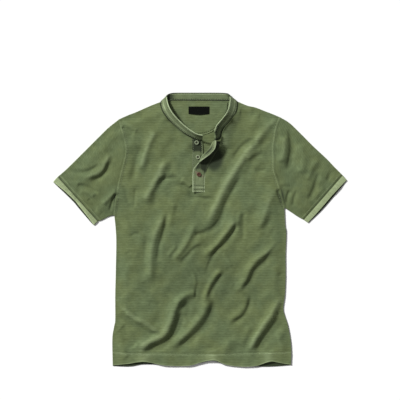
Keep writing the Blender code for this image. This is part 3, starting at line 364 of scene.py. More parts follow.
def crease_height(crease, x, y):
    """A ridge or hollow with its own width on each side, fading out at both ends."""
    line = smooth_line(crease.line, CREASE_STEPS)
    reach = CREASE_REACH * max(crease.lit, crease.shade)
    low, high = line.min(axis=0) - reach, line.max(axis=0) + reach
    close = (x > low[0]) & (x < high[0]) & (y > low[1]) & (y < high[1])
    height = np.zeros(x.shape)
    if not close.any():
        return height
    away, side, along = nearest(np.hstack([line[:-1], line[1:]]), x[close], y[close])
    run = line[-1] - line[0]
    side = side * np.sign(run[1] * SHADE_DIRECTION[0] - run[0] * SHADE_DIRECTION[1] or 1.0)
    width = np.where(side > 0, crease.shade, crease.lit)
    shape = crease.height * bump_at(away, width)
    shape -= crease.hollow * bump_at(side * away - HOLLOW_AWAY * crease.shade, HOLLOW_WIDTH * crease.shade)
    height[close] = shape * ease(np.minimum(along, 1 - along) / CREASE_ENDS)
    return height


print("a crease fades over", round(100 * CREASE_ENDS), "% of its length at each end")

# %% [markdown]
# ## How the upper layer lies
# Where the shirt is folded flat at its sides, the front is just two cloths thick over the table. A few
# centimetres in it lies loosely, with air under it. One height field says how high the top of the
# cloth is anywhere, and every upper piece reads it, so seams meet without being fitted one by one.

# %% Sizes of the lie
WALL = 1.2                 # thickness of piqué
EDGE_HEIGHT = 2.3          # top of the cloth at a folded side
REST_HEIGHT = 7.0          # and where it lies loosely
LOWEST_HEIGHT = 2.6
FLOOR_ROUNDING = 0.8       # how softly a hollow meets the lowest height
SIDE_ROLL = 35.0           # how far in from a folded side the cloth has risen to rest
END_ROLL = 60.0            # and how far in from the hem or a cuff
END_SHARE = 0.4            # share of the rise that is left at the hem or a cuff
EDGE_CREASES = 0.25        # share of a crease's height that is left at a folded side

SIDES = pieces_of(
    RIGHT_SHOULDER, RIGHT_SLEEVE_TOP, RIGHT_CUFF_TOP, RIGHT_SLEEVE_UNDER, RIGHT_CUFF_UNDER, RIGHT_SIDE,
    LEFT_SHOULDER, LEFT_SLEEVE_TOP, LEFT_CUFF_TOP, LEFT_SLEEVE_UNDER, LEFT_CUFF_UNDER, LEFT_SIDE)
ENDS = pieces_of(RIGHT_CUFF_END, LEFT_CUFF_END, FRONT_HEM)
HEM = pieces_of(FRONT_HEM)
ARMHOLE_SEAMS = (pieces_of(RIGHT_ARMHOLE), pieces_of(LEFT_ARMHOLE))
print("folded sides:", len(SIDES), "straight pieces, open ends:", len(ENDS))

# %% Slow waves
WAVES = (                  # wavelength, direction in degrees and phase of each
    (61.0, -35, 0.3), (83.0, -15, 1.9), (47.0, -55, 4.1), (37.0, -80, 2.6), (29.0, -25, 5.2), (23.0, 60, 0.9))
WAVE_SUM = 170.0           # brings their sum to about 1
WANDER = 1.6               # how far a crease strays from its smooth line
SWELL = 1.1                # height of the waves where the cloth lies loosely


def slow_waves(x, y, shift=0.0):
    """An uneven field of about -1 to 1, the same on every run."""
    total = np.zeros(x.shape)
    for length, turn, phase in WAVES:
        along = x * math.cos(math.radians(turn)) + y * math.sin(math.radians(turn))
        total += np.sin(math.tau * along / length + phase + shift) * length
    return total / WAVE_SUM


print(len(WAVES), "slow waves, the longest", max(WAVES)[0], "mm")

# %% Height of the cloth
def crease_field(x, y):
    """All the creases added up."""
    bent_x = x + WANDER * slow_waves(x, y, shift=1.0)
    bent_y = y + WANDER * slow_waves(x, y, shift=2.5)
    total = np.zeros(x.shape)
    for crease in CREASES:
        total += crease_height(crease, bent_x, bent_y)
    return total


def cloth_height(x, y):
    """Top of the upper layer of cloth."""
    x, y = np.asarray(x, dtype=float), np.asarray(y, dtype=float)
    side = ease(nearest(SIDES, x, y)[0] / SIDE_ROLL)
    end = END_SHARE + (1 - END_SHARE) * ease(nearest(ENDS, x, y)[0] / END_ROLL)
    height = EDGE_HEIGHT + (REST_HEIGHT - EDGE_HEIGHT) * side * end
    height += crease_field(x, y) * (EDGE_CREASES + (1 - EDGE_CREASES) * side)
    height += SWELL * slow_waves(x, y) * side
    above = height - LOWEST_HEIGHT
    return LOWEST_HEIGHT + 0.5 * (above + np.hypot(above, FLOOR_ROUNDING))


print("height at the middle:", round(float(cloth_height(np.array([0.0]), np.array([0.0]))[0]), 2), "mm")

# %% [markdown]
# ## Sheets
# A piece of cloth is a sheet with a wall. Each one starts as Blender's grid primitive, its points are
# moved to their places, and Solidify gives it its wall. The map that knitting and ribs follow is laid
# out in metres of cloth, so the stitches of the knit keep their size wherever the sheet goes.

# %% A grid moved into place
def filled(bottom, top, left, right, hold=1):
    """Fill four edges with a grid of places. A hold above 1 keeps the top edge's shape near it."""
    v = np.linspace(0.0, 1.0, len(left))[:, None, None] ** hold
    u = np.linspace(0.0, 1.0, len(bottom))[None, :, None]
    sideways = (1 - u) * left[:, None] + u * right[:, None]
    upward = (1 - v) * bottom[None] + v * top[None]
    corners = (1 - u) * ((1 - v) * left[0] + v * left[-1]) + u * ((1 - v) * right[0] + v * right[-1])
    return sideways + upward - corners


def grid_piece(name, places, cloth_map, **fields):
    """A grid primitive with its points at these places, its map, and a value per point for each field."""
    rows, columns = places.shape[:2]
    deselect()
    bpy.ops.mesh.primitive_grid_add(
        x_subdivisions=columns - 1, y_subdivisions=rows - 1, size=2, calc_uvs=True)
    made = bpy.context.object
    made.name = made.data.name = name
    mesh = made.data
    mesh.vertices.foreach_set("co", (places.reshape(-1, 3) * MM).ravel())
    corner_points = np.empty(len(mesh.loops), dtype=np.int32)
    mesh.loops.foreach_get("vertex_index", corner_points)
    flat_map = cloth_map.reshape(-1, 2) * MM
    mesh.uv_layers.active.data.foreach_set("uv", flat_map[corner_points].ravel())
    for field, values in fields.items():
        attribute = mesh.attributes.new(field, "FLOAT", "POINT")
        attribute.data.foreach_set("value", np.asarray(values, dtype=np.float32).ravel())
    mesh.update()
    return made


# %% Joining, walls and smooth faces
MERGE_DISTANCE = 0.00001   # in metres
SHARP_ANGLE = math.radians(50)


def choose(*things):
    """Select these objects, the first of them active."""
    deselect()
    for thing in things:
        thing.select_set(True)
    bpy.context.view_layer.objects.active = things[0]


def merged(made, outward=True):
    """Close the seams of a mesh and make its faces point one way."""
    choose(made)
    bpy.ops.object.mode_set(mode="EDIT")
    bpy.ops.mesh.select_all(action="SELECT")
    bpy.ops.mesh.remove_doubles(threshold=MERGE_DISTANCE)
    if outward:
        bpy.ops.mesh.normals_make_consistent(inside=False)
    bpy.ops.object.mode_set(mode="OBJECT")
    return made


def apply_modifier(made, kind, **settings):
    """Add one modifier with its settings and apply it."""
    choose(made)
    modifier = made.modifiers.new(kind.lower(), kind)
    for key, value in settings.items():
        setattr(modifier, key, value)
    bpy.ops.object.modifier_apply(modifier=modifier.name)
    return made


def thickened(made, wall, offset=-1.0, rounding=0.0):
    """Give a sheet its wall, keep it off the table, and round its cut edges."""
    apply_modifier(made, "SOLIDIFY", thickness=wall * MM, offset=offset)
    if rounding:
        apply_modifier(made, "BEVEL", width=rounding * MM, segments=2, limit_method="ANGLE",
                       angle_limit=SHARP_ANGLE)
    count = len(made.data.vertices)
    places = np.empty(count * 3)
    made.data.vertices.foreach_get("co", places)
    places[2::3] = np.maximum(places[2::3], 0.0)
    made.data.vertices.foreach_set("co", places)
    made.data.update()
    choose(made)
    bpy.ops.object.shade_smooth_by_angle(angle=SHARP_ANGLE)
    return made


print("points within", MERGE_DISTANCE / MM, "mm are merged")

# %% Onto the shirt's one body
def triangles(made):
    """How many triangles a piece has."""
    return sum(len(face.vertices) - 2 for face in made.data.polygons)


def finished(made, material_slot, *nodes):
    """Put a piece on the shirt's one body, in place of these CAD nodes."""
    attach(made, "root")
    if nodes:
        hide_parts(*nodes)
    print(f"{made.name}: {triangles(made)} triangles")
    return made


# %% [markdown]
# ## Seams on the height field
# A hem is cloth folded up twice and sewn, so it is a little proud of the panel and pulled in along its
# needle lines. An armhole seam is a low roll with a groove on the sleeve's side. Between the needle
# holes the cloth puckers. These are too fine for the solid model, so they are added to the height here.

# %% Hem, armholes and puckers
HEM_SEAM = (
    (-247, -341), (-200, -345.5), (-110, -347), (14, -348.3), (98, -347), (140, -344.8), (196, -344),
    (254, -341.5))
SEAM_Y = smooth_line(HEM_SEAM)
HEM_ROWS = (0.0, 5.2)      # the twin needle's rows, below the seam's top
ARMHOLE_NEEDLE = 5.0       # an armhole's needle line, beside its seam
HEM_RAISE = 0.7            # the turned-up hem above the panel
NEEDLE_GROOVE = 0.45
ARMHOLE_ROLL = 0.9
PUCKER_LENGTH = 8.5
HEM_PUCKER, ARMHOLE_PUCKER = 0.25, 0.22


def above_hem(x, y):
    """How far a place is above the hem's needle line, negative in the hem."""
    return y - np.interp(x, SEAM_Y[:, 0], SEAM_Y[:, 1])


def seam_relief(x, y):
    """What the seams add to the height of the cloth."""
    up = above_hem(x, y)
    relief = HEM_RAISE * (1 - ease((up - 1.5) / 2.5))
    for line in HEM_ROWS:
        relief -= NEEDLE_GROOVE * bump_at(up + line, 1.5)
    pucker = np.sin(math.tau * (x + 0.5 * y) / PUCKER_LENGTH + 2.2 * slow_waves(x, y))
    relief += HEM_PUCKER * pucker * bump_at(up + 2.6, 8.0)
    for pieces in ARMHOLE_SEAMS:
        away = nearest(pieces, x, y)[0]
        relief += ARMHOLE_ROLL * bump_at(away, 2.6)
        relief += ARMHOLE_PUCKER * bump_at(away, 9.0) * np.sin(math.tau * (y + 0.3 * x) / PUCKER_LENGTH)
    return relief


print("hem seam:", len(SEAM_Y), "points")

# %% The slot, the neck and the gaps at the seams
PLACKET_LEFT, PLACKET_RIGHT, PLACKET_FOOT = -21.3, 13.2, 105.2
NECK_SETBACK = 2.0         # the front stops this far out from the stand's seam
NECK_CENTRE = (0.0, 318.0)
SEAM_GAP = 0.3
SLOT_TUCK = -0.6           # the panel's edge is tucked this far under the placket's
print("the slot is", round(PLACKET_RIGHT - PLACKET_LEFT, 1), "mm wide")

# %% Rows of the stand
# From its end on the button side, round the neck, to its end on the buttonhole side.
BandRow = namedtuple("BandRow", "layer seam_x seam_y lift edge_x edge_y rise")

BAND_ROWS = [
    BandRow("front", 6.2, 248.5, -0.8, 8.0, 263.0, 22.0),
    BandRow("front", -5.6, 251.0, -0.3, -3.4, 265.0, 22.5),
    BandRow("front", -19.6, 257.0, 0.0, -14.6, 269.5, 22.0),
    BandRow("front", -45.9, 271.2, 0.0, -35.0, 283.8, 21.0),
    BandRow("front", -68.6, 290.2, 0.0, -55.2, 302.0, 19.0),
    BandRow("front", -88.2, 309.2, 0.0, -72.8, 321.6, 16.5),
    BandRow("front", -102.8, 329.4, 0.0, -84.6, 340.6, 13.5),
    BandRow("front", -109.2, 347.5, 0.0, -90.4, 358.7, 10.0),
    BandRow("fold", -110.0, 357.8, 3.0, -92.0, 374.0, 4.5),
    BandRow("back", -99.0, 361.0, 0.0, -83.0, 381.1, 0.8),
    BandRow("back", -75.6, 361.5, 0.0, -70.3, 383.0, 0.0),
    BandRow("back", -36.0, 361.6, 0.0, -34.0, 383.2, 0.0),
    BandRow("back", 4.0, 361.4, 0.0, 4.0, 383.2, 0.0),
    BandRow("back", 44.0, 361.2, 0.0, 42.0, 383.2, 0.0),
    BandRow("back", 76.0, 360.9, 0.0, 66.0, 382.6, 0.0),
    BandRow("back", 95.0, 360.5, 0.0, 77.0, 380.9, 0.8),
    BandRow("fold", 103.8, 358.6, 3.0, 82.2, 374.2, 4.0),
    BandRow("front", 105.0, 347.5, 0.0, 83.6, 360.0, 9.5),
    BandRow("front", 101.2, 329.3, 0.0, 79.2, 338.0, 13.0),
    BandRow("front", 91.0, 312.5, 0.0, 71.4, 321.4, 16.5),
    BandRow("front", 80.4, 298.8, 0.0, 61.0, 308.3, 16.5),
    BandRow("front", 68.6, 286.0, 0.0, 52.0, 297.6, 17.5),
    BandRow("front", 61.5, 271.5, 0.3, 45.6, 289.5, 16.5),
    BandRow("front", 58.0, 256.0, 0.8, 42.4, 281.5, 14.5),
    BandRow("open", 51.5, 249.8, 19.0, 41.4, 277.5, 12.0),
    BandRow("open", 41.5, 248.9, 25.0, 41.0, 276.5, 8.0),
    BandRow("open", 45.0, 249.3, 33.0, 41.6, 277.0, 3.0),
]
print(len(BAND_ROWS), "rows of the stand")

# %% Rows of the plackets
# Across a placket: its free edge, a place half way, and its sewn edge.
StripRow = namedtuple(
    "StripRow", "free_x free_y free_z half_x half_y half_z sewn_x sewn_y sewn_lift")

OVER_PLACKET_ROWS = [
    StripRow(45.2, 248.2, 33.0, 39.2, 247.6, 24.0, 57.1, 246.4, 0.0),
    StripRow(44.8, 236.9, 31.5, 32.5, 238.0, 22.0, 54.3, 231.3, 0.0),
    StripRow(40.9, 224.3, 29.5, 26.3, 226.8, 20.0, 46.5, 217.3, 0.0),
    StripRow(30.8, 212.8, 25.5, 16.8, 216.2, 17.0, 36.4, 201.9, 0.0),
    StripRow(17.9, 202.4, 21.5, 6.2, 205.0, 13.5, 28.0, 186.5, 0.0),
    StripRow(4.5, 192.6, 18.0, 0.5, 190.5, 11.0, 21.8, 173.9, 0.0),
    StripRow(-7.8, 182.8, 11.8, 1.5, 174.5, 9.6, 17.4, 161.3, 0.0),
    StripRow(-17.9, 169.7, 9.8, -1.0, 161.0, 8.6, 15.1, 147.3, 0.0),
    StripRow(-20.9, 153.5, 9.0, -3.4, 149.0, 8.0, 13.8, 136.1, 0.0),
    StripRow(-20.9, 128.0, 8.8, -3.4, 125.0, 7.6, 13.7, 122.0, 0.0),
    StripRow(-20.9, 104.8, 8.7, -3.4, 104.8, 7.6, 13.7, 104.8, 0.0),
]
UNDER_PLACKET_ROWS = [
    StripRow(6.6, 246.8, 3.5, -7.2, 251.0, 5.1, -21.0, 255.4, 0.0),
    StripRow(8.2, 232.0, 3.3, -6.4, 234.0, 5.0, -21.0, 236.0, 0.0),
    StripRow(8.4, 200.0, 3.2, -6.3, 200.0, 4.9, -21.0, 200.0, 0.0),
    StripRow(8.4, 160.0, 3.3, -6.3, 160.0, 4.8, -21.0, 160.0, -0.4),
    StripRow(8.4, 104.8, 3.6, -6.3, 104.8, 4.7, -21.0, 104.8, -0.6),
]
print(len(OVER_PLACKET_ROWS), "rows of the over placket,", len(UNDER_PLACKET_ROWS), "of the under one")

# %% Edges of the neck and of the slot
def neck_edge(rows):
    """The stand's seam moved out from the neck, as the edge of a front panel."""
    seam = np.array([(row.seam_x, row.seam_y) for row in rows])
    away = seam - NECK_CENTRE
    return seam + away / np.hypot(*away.T)[:, None] * NECK_SETBACK


def slot_edge():
    """The panel's edge beside the buttonhole placket, tucked a little under it."""
    rows = OVER_PLACKET_ROWS[::-1]
    edge = [(PLACKET_RIGHT, PLACKET_FOOT)]
    for before, row, after in zip(rows, rows[1:], rows[2:] + [rows[-1]]):
        run = Vector((after.sewn_x - before.sewn_x, after.sewn_y - before.sewn_y)).normalized()
        edge.append((row.sewn_x + run.y * SLOT_TUCK, row.sewn_y - run.x * SLOT_TUCK))
    return np.array(edge)


def hem_between(start_x, end_x, count):
    """Places along the front hem between two values of x."""
    dense = smooth_line(FRONT_HEM)
    wanted = np.linspace(start_x, end_x, count + 1)
    return np.column_stack([wanted, np.interp(wanted, dense[:, 0], dense[:, 1])])


print(len(slot_edge()), "places beside the slot")

# %% [markdown]
# ## Where the dye has changed, and painted light and shade
# A garment that is dyed after sewing, and then washed, is rubbed pale on its edges, its seams and the tops of
# its creases, and stays dark in its grooves. It could be painted by hand. Here every point of the cloth gets
# one number, its tone, worked out from what it is near: 1 is palest, 0 is as dyed, and -1 is darkest. The
# materials read it. The tone also carries painted light: a painted highlight on the tops of creases, besides
# their wear, and painted shade in deep pockets, crease hollows, beside and under the stand, in the armpits,
# on the back's hem, inside the cuffs and over broad parts of the belly and the left sleeve.

# %% Dark places, as painted shade
Shade = namedtuple("Shade", "name x y half_width half_height depth power")

# Each place is darkened as painted shade: the pockets behind the open flap and beside the buttons, the
# armpits, and broad darker parts of the belly and the left sleeve.
SHADES = (
    Shade("pocket behind the open flap", 39, 199, 28, 37, 1.12, 4),
    Shade("fold above the lower button", 0, 178, 19, 10, 0.90, 4),
    Shade("beside the collar button", -25, 232, 9, 12, 0.50, 2),
    Shade("belly", 20, -140, 200, 140, 0.32, 2),
    Shade("sleeve on the left", 300, 150, 80, 110, 0.14, 4),
    Shade("armpit on the left", 229, 92, 8, 22, 0.55, 2),
    Shade("armpit on the right", -236, 88, 7, 20, 0.35, 2),
)
NECK_SEAMS = pieces_of(*(
    [(row.seam_x, row.seam_y) for row in BAND_ROWS if row.layer == "front" and (row.seam_x > 10) == on_left]
    for on_left in (False, True)))


def shade_at(x, y):
    """Painted shade: the dark pockets and the broad darker parts."""
    total = np.zeros(np.shape(x))
    for shade in SHADES:
        away = np.hypot((x - shade.x) / shade.half_width, (y - shade.y) / shade.half_height)
        total += shade.depth * np.exp(-away ** shade.power)
    return total


print(len(SHADES), "dark places")

# %% Rubbed and dark lines
ToneLine = namedtuple("ToneLine", "place tone width")


def toned(away, lines):
    """Tone at a distance from a seam, or at a share across a strip, from the lines that run beside it."""
    return sum(line.tone * bump_at(away - line.place, line.width) for line in lines)


print("on a rubbed line the tone is", float(toned(0.0, [ToneLine(0.0, 0.5, 1.9)])))

# %% Tone of the upper cloth
CREASE_RUB_AND_HIGHLIGHT, CREASE_PAINTED_SHADE = 6.0, 5.0  # height and depth, in mm, at which crease tops are fully rubbed pale with a painted highlight, and hollows fully take painted shade
HEM_EDGE_TONES = (ToneLine(0.0, 0.45, 2.2),)
DOUBLED_HEM = 0.12
HEM_NEEDLE_TONES = (ToneLine(-1.6, 0.35, 1.8), ToneLine(2.6, -0.35, 1.8))
# Painted shade along the stand's seam on the front.
NECK_SHADE = (ToneLine(0.0, -0.42, 4.5), ToneLine(0.0, -0.10, 12.0))
ARMHOLE_TONES = (ToneLine(0.0, 0.5, 1.9), ToneLine(ARMHOLE_NEEDLE, -0.3, 2.2))


def cloth_tone(x, y):
    """How far washing has changed the dye of the upper cloth, with painted highlight and painted shade added.
    """
    up = above_hem(x, y)
    tone = toned(nearest(HEM, x, y)[0], HEM_EDGE_TONES) + DOUBLED_HEM * (up < 0) + toned(up, HEM_NEEDLE_TONES)
    # Painted shade beside the stand's seam and in the dark places.
    tone += toned(nearest(NECK_SEAMS, x, y)[0], NECK_SHADE) - shade_at(x, y)
    for pieces in ARMHOLE_SEAMS:
        tone += toned(nearest(pieces, x, y)[0], ARMHOLE_TONES)
    creases = crease_field(x, y)
    # Crease tops are rubbed pale and carry a painted highlight, and crease hollows carry painted shade.
    tone += 0.36 * ease(creases / CREASE_RUB_AND_HIGHLIGHT) - 0.15 * ease(-creases / CREASE_PAINTED_SHADE)
    return np.clip(tone, -1.0, 1.0)


print("tone of the belly:", round(float(cloth_tone(np.array([20.0]), np.array([-140.0]))[0]), 2))

# %% [markdown]
# ## The front panel
# The front is one piece of piqué with a slot cut for the placket. A single grid can't have a slot, so
# three grids are filled between its edges, right of the slot, below it and left of it, and joined
# where they meet. Their points are about 3 mm apart, fine enough for the narrowest crease.

# %% Edges of the front's three grids
SIDE_ROWS, ARMHOLE_ROWS = 150, 126
SLOT_ROWS, OPEN_ROWS = 162, 114
HALF_COLUMNS, NECK_COLUMNS, PLACKET_COLUMNS = 76, 38, 14
HEM_ENDS = (-243.9, 254.2)

front_rows = [row for row in BAND_ROWS if row.layer == "front"]
right_neck = neck_edge([row for row in front_rows if row.seam_x < PLACKET_LEFT + 2])
left_neck = neck_edge([row for row in front_rows if row.seam_x > PLACKET_RIGHT])
right_corner = np.array([PLACKET_LEFT - 0.4, right_neck[0, 1]])
foot_left, foot_right = np.array([PLACKET_LEFT, PLACKET_FOOT]), np.array([PLACKET_RIGHT, PLACKET_FOOT])

hem_right_half = hem_between(HEM_ENDS[0], PLACKET_LEFT, HALF_COLUMNS)
hem_middle = hem_between(PLACKET_LEFT, PLACKET_RIGHT, PLACKET_COLUMNS)
hem_left_half = hem_between(PLACKET_RIGHT, HEM_ENDS[1], HALF_COLUMNS)
right_side = joined(spread(RIGHT_SIDE[::-1], SIDE_ROWS), spread(RIGHT_ARMHOLE[::-1], ARMHOLE_ROWS))
left_side = joined(spread(LEFT_SIDE[::-1], SIDE_ROWS), spread(LEFT_ARMHOLE[::-1], ARMHOLE_ROWS))
slot_left = joined(
    spread([hem_right_half[-1], foot_left], SLOT_ROWS), spread([foot_left, right_corner], OPEN_ROWS))
slot_right = joined(
    spread([hem_left_half[0], foot_right], SLOT_ROWS),
    spread(np.vstack([slot_edge(), left_neck[::-1], LEFT_SHOULDER[:1]]), OPEN_ROWS))
right_neck_edge = np.vstack([right_corner, right_neck[1:], RIGHT_SHOULDER[:1]])
right_top = joined(
    spread(RIGHT_SHOULDER[::-1], HALF_COLUMNS - NECK_COLUMNS), spread(right_neck_edge[::-1], NECK_COLUMNS))
left_top = spread(LEFT_SHOULDER, HALF_COLUMNS)
slot_foot = spread([foot_left, foot_right], PLACKET_COLUMNS)
print("each side of the front has", len(right_side), "places")

# %% Three grids joined into the front
TOP_HOLD = 6               # keeps the neck's shape near the top edge of the right grid

middle_sides = slot_left[:SLOT_ROWS + 1], slot_right[:SLOT_ROWS + 1]
front_parts = []
for part_name, part_places in (
        ("front_right", filled(hem_right_half, right_top, right_side, slot_left, TOP_HOLD)),
        ("front_left", filled(hem_left_half, left_top, slot_right, left_side)),
        ("front_middle", filled(hem_middle, slot_foot, *middle_sides))):
    part_x, part_y = part_places[..., 0], part_places[..., 1]
    part_z = cloth_height(part_x, part_y) + seam_relief(part_x, part_y)
    front_parts.append(grid_piece(
        part_name, np.dstack([part_places, part_z]), part_places, tone=cloth_tone(part_x, part_y)))
choose(*front_parts)
bpy.ops.object.join()
front = front_parts[0]
front.name = front.data.name = "front_panel"
merged(front, outward=False)
thickened(front, WALL)
finished(front, "pique", "front_body")

# %% [markdown]
# ## The back panel
# The back lies on the table, and only its inside shows: in the neck opening and as slivers beyond the
# front's hem. It is flat underneath where it rests, with a shallow unevenness on top.

# %% The back, filled between its edges
BACK_ROWS, BACK_COLUMNS = 130, 96
BACK_SIDE_ROWS, BACK_SHOULDER_COLUMNS = 66, 25
BACK_WALL = WALL + 0.6
BACK_UNEVENNESS = 0.25
SHADED_HEM = 14.0          # how deep the shade is in which the back's hem lies

back_left_edge, back_right_edge = (
    joined(spread(side[::-1], BACK_SIDE_ROWS), spread(armhole[::-1], BACK_ROWS - BACK_SIDE_ROWS))
    for side, armhole in ((RIGHT_SIDE, RIGHT_ARMHOLE), (LEFT_SIDE, LEFT_ARMHOLE)))
back_neck = spread(BACK_NECK, BACK_COLUMNS - 2 * BACK_SHOULDER_COLUMNS)
back_top = joined(
    joined(spread(RIGHT_SHOULDER[::-1], BACK_SHOULDER_COLUMNS), back_neck),
    spread(LEFT_SHOULDER, BACK_SHOULDER_COLUMNS))
back_places = filled(spread(BACK_HEM, BACK_COLUMNS), back_top, back_left_edge, back_right_edge)
back_x, back_y = back_places[..., 0], back_places[..., 1]
back_z = WALL + BACK_UNEVENNESS * (1 + slow_waves(back_x, back_y, shift=4.0))
# Painted shade on the back's hem, where the front's hem shades it.
back_tone = -0.9 * ease(1.3 - nearest(pieces_of(BACK_HEM), back_x, back_y)[0] / SHADED_HEM)
back = grid_piece("back_panel", np.dstack([back_places, back_z]), back_places, tone=back_tone)
thickened(back, BACK_WALL)
finished(back, "pique", "back_body")

# %% [markdown]
# ## Sleeves and cuffs
# A sleeve is a tube pressed flat, so its cloth goes round: over the top, round a tight fold, back along the
# table and round the other fold. One grid is wrapped into that ring and closed where its two ends meet. The
# cuffs are knitted bands made the same way, a little proud of the sleeve, and their lower layer reaches a
# little further, so that its inside shows, darkened with painted shade.

# %% A flattened tube
UPPER_COLUMNS, LOWER_COLUMNS = 89, 26
FOLD_RADIUS = 1.3
EDGE_SHARES = np.array([0.0, 0.0016, 0.0048, 0.011])   # close places round a fold
INNER_SHARES = (0.018, 0.982)                          # between them, the places are even
INSIDE_SHADE_SPAN = (0.4, 0.3)   # where along a tube painted shade darkens its inside, and over what share


def along_grid(grid, shares):
    """Places at these shares across every row of a grid."""
    scaled = shares * (grid.shape[1] - 1)
    index = np.minimum(scaled.astype(int), grid.shape[1] - 2)
    part = (scaled - index)[None, :, None]
    return grid[:, index] * (1 - part) + grid[:, index + 1] * part


def roundness(shares, width):
    """How far round a fold each place across a tube is, from 0 at the fold to 1 where it is flat."""
    inward = np.minimum(shares, 1 - shares)[None, :] * width / FOLD_RADIUS
    return np.sqrt(np.clip(1 - (1 - np.minimum(inward, 1.0)) ** 2, 0.0, 1.0))


def flat_tube(name, upper, lower, top_height, tone, wall, end_shade=0.0):
    """A tube of cloth: its upper layer at top_height, its lower one on the table, with painted shade inside
    toward its end.
    """
    shares = np.concatenate([EDGE_SHARES, np.linspace(*INNER_SHARES, UPPER_COLUMNS), 1 - EDGE_SHARES[::-1]])
    back_shares = np.concatenate([
        EDGE_SHARES[1:], np.linspace(*INNER_SHARES, LOWER_COLUMNS), 1 - EDGE_SHARES[:0:-1]])[::-1]
    width = np.hypot(*(upper[:, -1] - upper[:, 0]).T)[:, None]
    length = np.hypot(*(upper[-1, 0] - upper[0, 0]))
    over, under = along_grid(upper, shares), along_grid(lower, back_shares)
    height = top_height(over[..., 0], over[..., 1])
    over_z = 0.5 * height * (1 + roundness(shares, width))
    side_height = np.where(back_shares[None, :] > 0.5, height[:, -1:], height[:, :1])
    under_z = 0.5 * side_height * (1 - roundness(back_shares, width))
    ring = np.concatenate([np.dstack([over, over_z]), np.dstack([under, under_z])], axis=1)
    ring = np.concatenate([ring, ring[:, :1]], axis=1)
    down = np.linspace(0.0, 1.0, len(ring))[:, None]
    round_share = np.concatenate([shares, 2 - back_shares, [2.0]])
    ring_map = np.dstack(np.broadcast_arrays(round_share[None, :] * width.mean(), down * length))
    inside = end_shade * ease((down - INSIDE_SHADE_SPAN[0]) / INSIDE_SHADE_SPAN[1])
    values = np.concatenate([tone(over[..., 0], over[..., 1]), np.broadcast_to(inside, under.shape[:2]),
                             np.zeros((len(ring), 1))], axis=1)
    values[:, -1] = values[:, 0]
    made = grid_piece(name, ring, ring_map, tone=values)
    merged(made)
    return thickened(made, wall)


print("a ring of a tube has", UPPER_COLUMNS + LOWER_COLUMNS + 4 * len(EDGE_SHARES) - 2, "places")


# %% The two sleeves
SLEEVE_ROWS, EDGE_POINTS = 66, 40
CUFF_NEEDLE = 6.5          # the needle line beside a cuff's seam
SLEEVE_END_TONES = (ToneLine(CUFF_NEEDLE, 0.35, 1.6), ToneLine(0.0, -0.7, 1.3))


def make_sleeve(name, top, under, armhole, sign, node):
    """A sleeve from its armhole to its cuff seam."""
    start = spread(armhole, EDGE_POINTS) + np.array([sign * 1.5 * SEAM_GAP, 0.0])
    end = spread([top[-1], under[-1]], EDGE_POINTS)
    upper_edge, under_edge = spread(top, SLEEVE_ROWS), spread(under, SLEEVE_ROWS)
    upper_edge[0], under_edge[0] = start[0], start[-1]
    grid = filled(start, end, upper_edge, under_edge)
    cuff_seam = pieces_of((top[-1], under[-1]))

    def height(x, y):
        groove = 0.9 * bump_at(nearest(cuff_seam, x, y)[0], 2.2)
        return cloth_height(x, y) + 0.6 * seam_relief(x, y) - groove

    def tone(x, y):
        return cloth_tone(x, y) + toned(nearest(cuff_seam, x, y)[0], SLEEVE_END_TONES)

    return finished(flat_tube(name, grid, grid, height, tone, WALL), "pique", node)


right_sleeve = make_sleeve(
    "sleeve_right", RIGHT_SLEEVE_TOP, RIGHT_SLEEVE_UNDER, RIGHT_ARMHOLE, -1, "right_sleeve")
left_sleeve = make_sleeve(
    "sleeve_left", LEFT_SLEEVE_TOP, LEFT_SLEEVE_UNDER, LEFT_ARMHOLE, 1, "left_sleeve")

# %% The two cuffs
CUFF_WALL = 1.6
CUFF_RAISE = 0.8
CUFF_ROWS = 8
CUFF_BACK_RUN = (3.6, -3.4)            # how far its lower layer reaches past the upper one
# The inside of a cuff's lower layer is darkened as painted shade.
CUFF_TONE, CUFF_INSIDE_SHADE = 0.66, -0.95
RIM_TONES, CUFF_SEAM_TONES = (ToneLine(0.0, 0.50, 2.2),), (ToneLine(0.0, -1.1, 1.2),)


def make_cuff(name, top, under, end_rows, sign, node):
    """The knitted band round a sleeve's end."""
    start = spread([top[0], under[0]], EDGE_POINTS)
    end = spread(end_rows, EDGE_POINTS)
    out = np.sin(np.linspace(0.0, math.pi, EDGE_POINTS + 1)) ** 0.6
    longer = end + out[:, None] * np.array([sign * CUFF_BACK_RUN[0], CUFF_BACK_RUN[1]])
    top_edge, under_edge = spread(top, CUFF_ROWS), spread(under, CUFF_ROWS)
    upper = filled(start, end, top_edge, under_edge)
    lower = filled(start, longer, top_edge, under_edge)
    rim, seam = pieces_of(end_rows), pieces_of((top[0], under[0]))

    def height(x, y):
        rolled = 0.8 * bump_at(nearest(rim, x, y)[0], 2.0) + 0.9 * bump_at(nearest(seam, x, y)[0], 1.6)
        return cloth_height(x, y) + CUFF_RAISE - rolled

    def tone(x, y):
        at_rim, at_seam = nearest(rim, x, y)[0], nearest(seam, x, y)[0]
        return CUFF_TONE + toned(at_rim, RIM_TONES) + toned(at_seam, CUFF_SEAM_TONES)

    tube = flat_tube(name, upper, lower, height, tone, CUFF_WALL, end_shade=CUFF_INSIDE_SHADE)
    return finished(tube, "rib", node)


right_cuff = make_cuff("cuff_right", RIGHT_CUFF_TOP, RIGHT_CUFF_UNDER, RIGHT_CUFF_END, -1, "right_cuff")
left_cuff = make_cuff("cuff_left", LEFT_CUFF_TOP, LEFT_CUFF_UNDER, LEFT_CUFF_END, 1, "left_cuff")

# %% [markdown]
# ## The stand and the plackets
# The stand is a band two cloths thick with a stiffener between. It lies flat behind the neck, turns
# over at the neck points and stands up in front. The plackets are strips of the same make. Each is a
# ribbon: rows of places across it, from the seam to the free edge, with half its wall on each side.

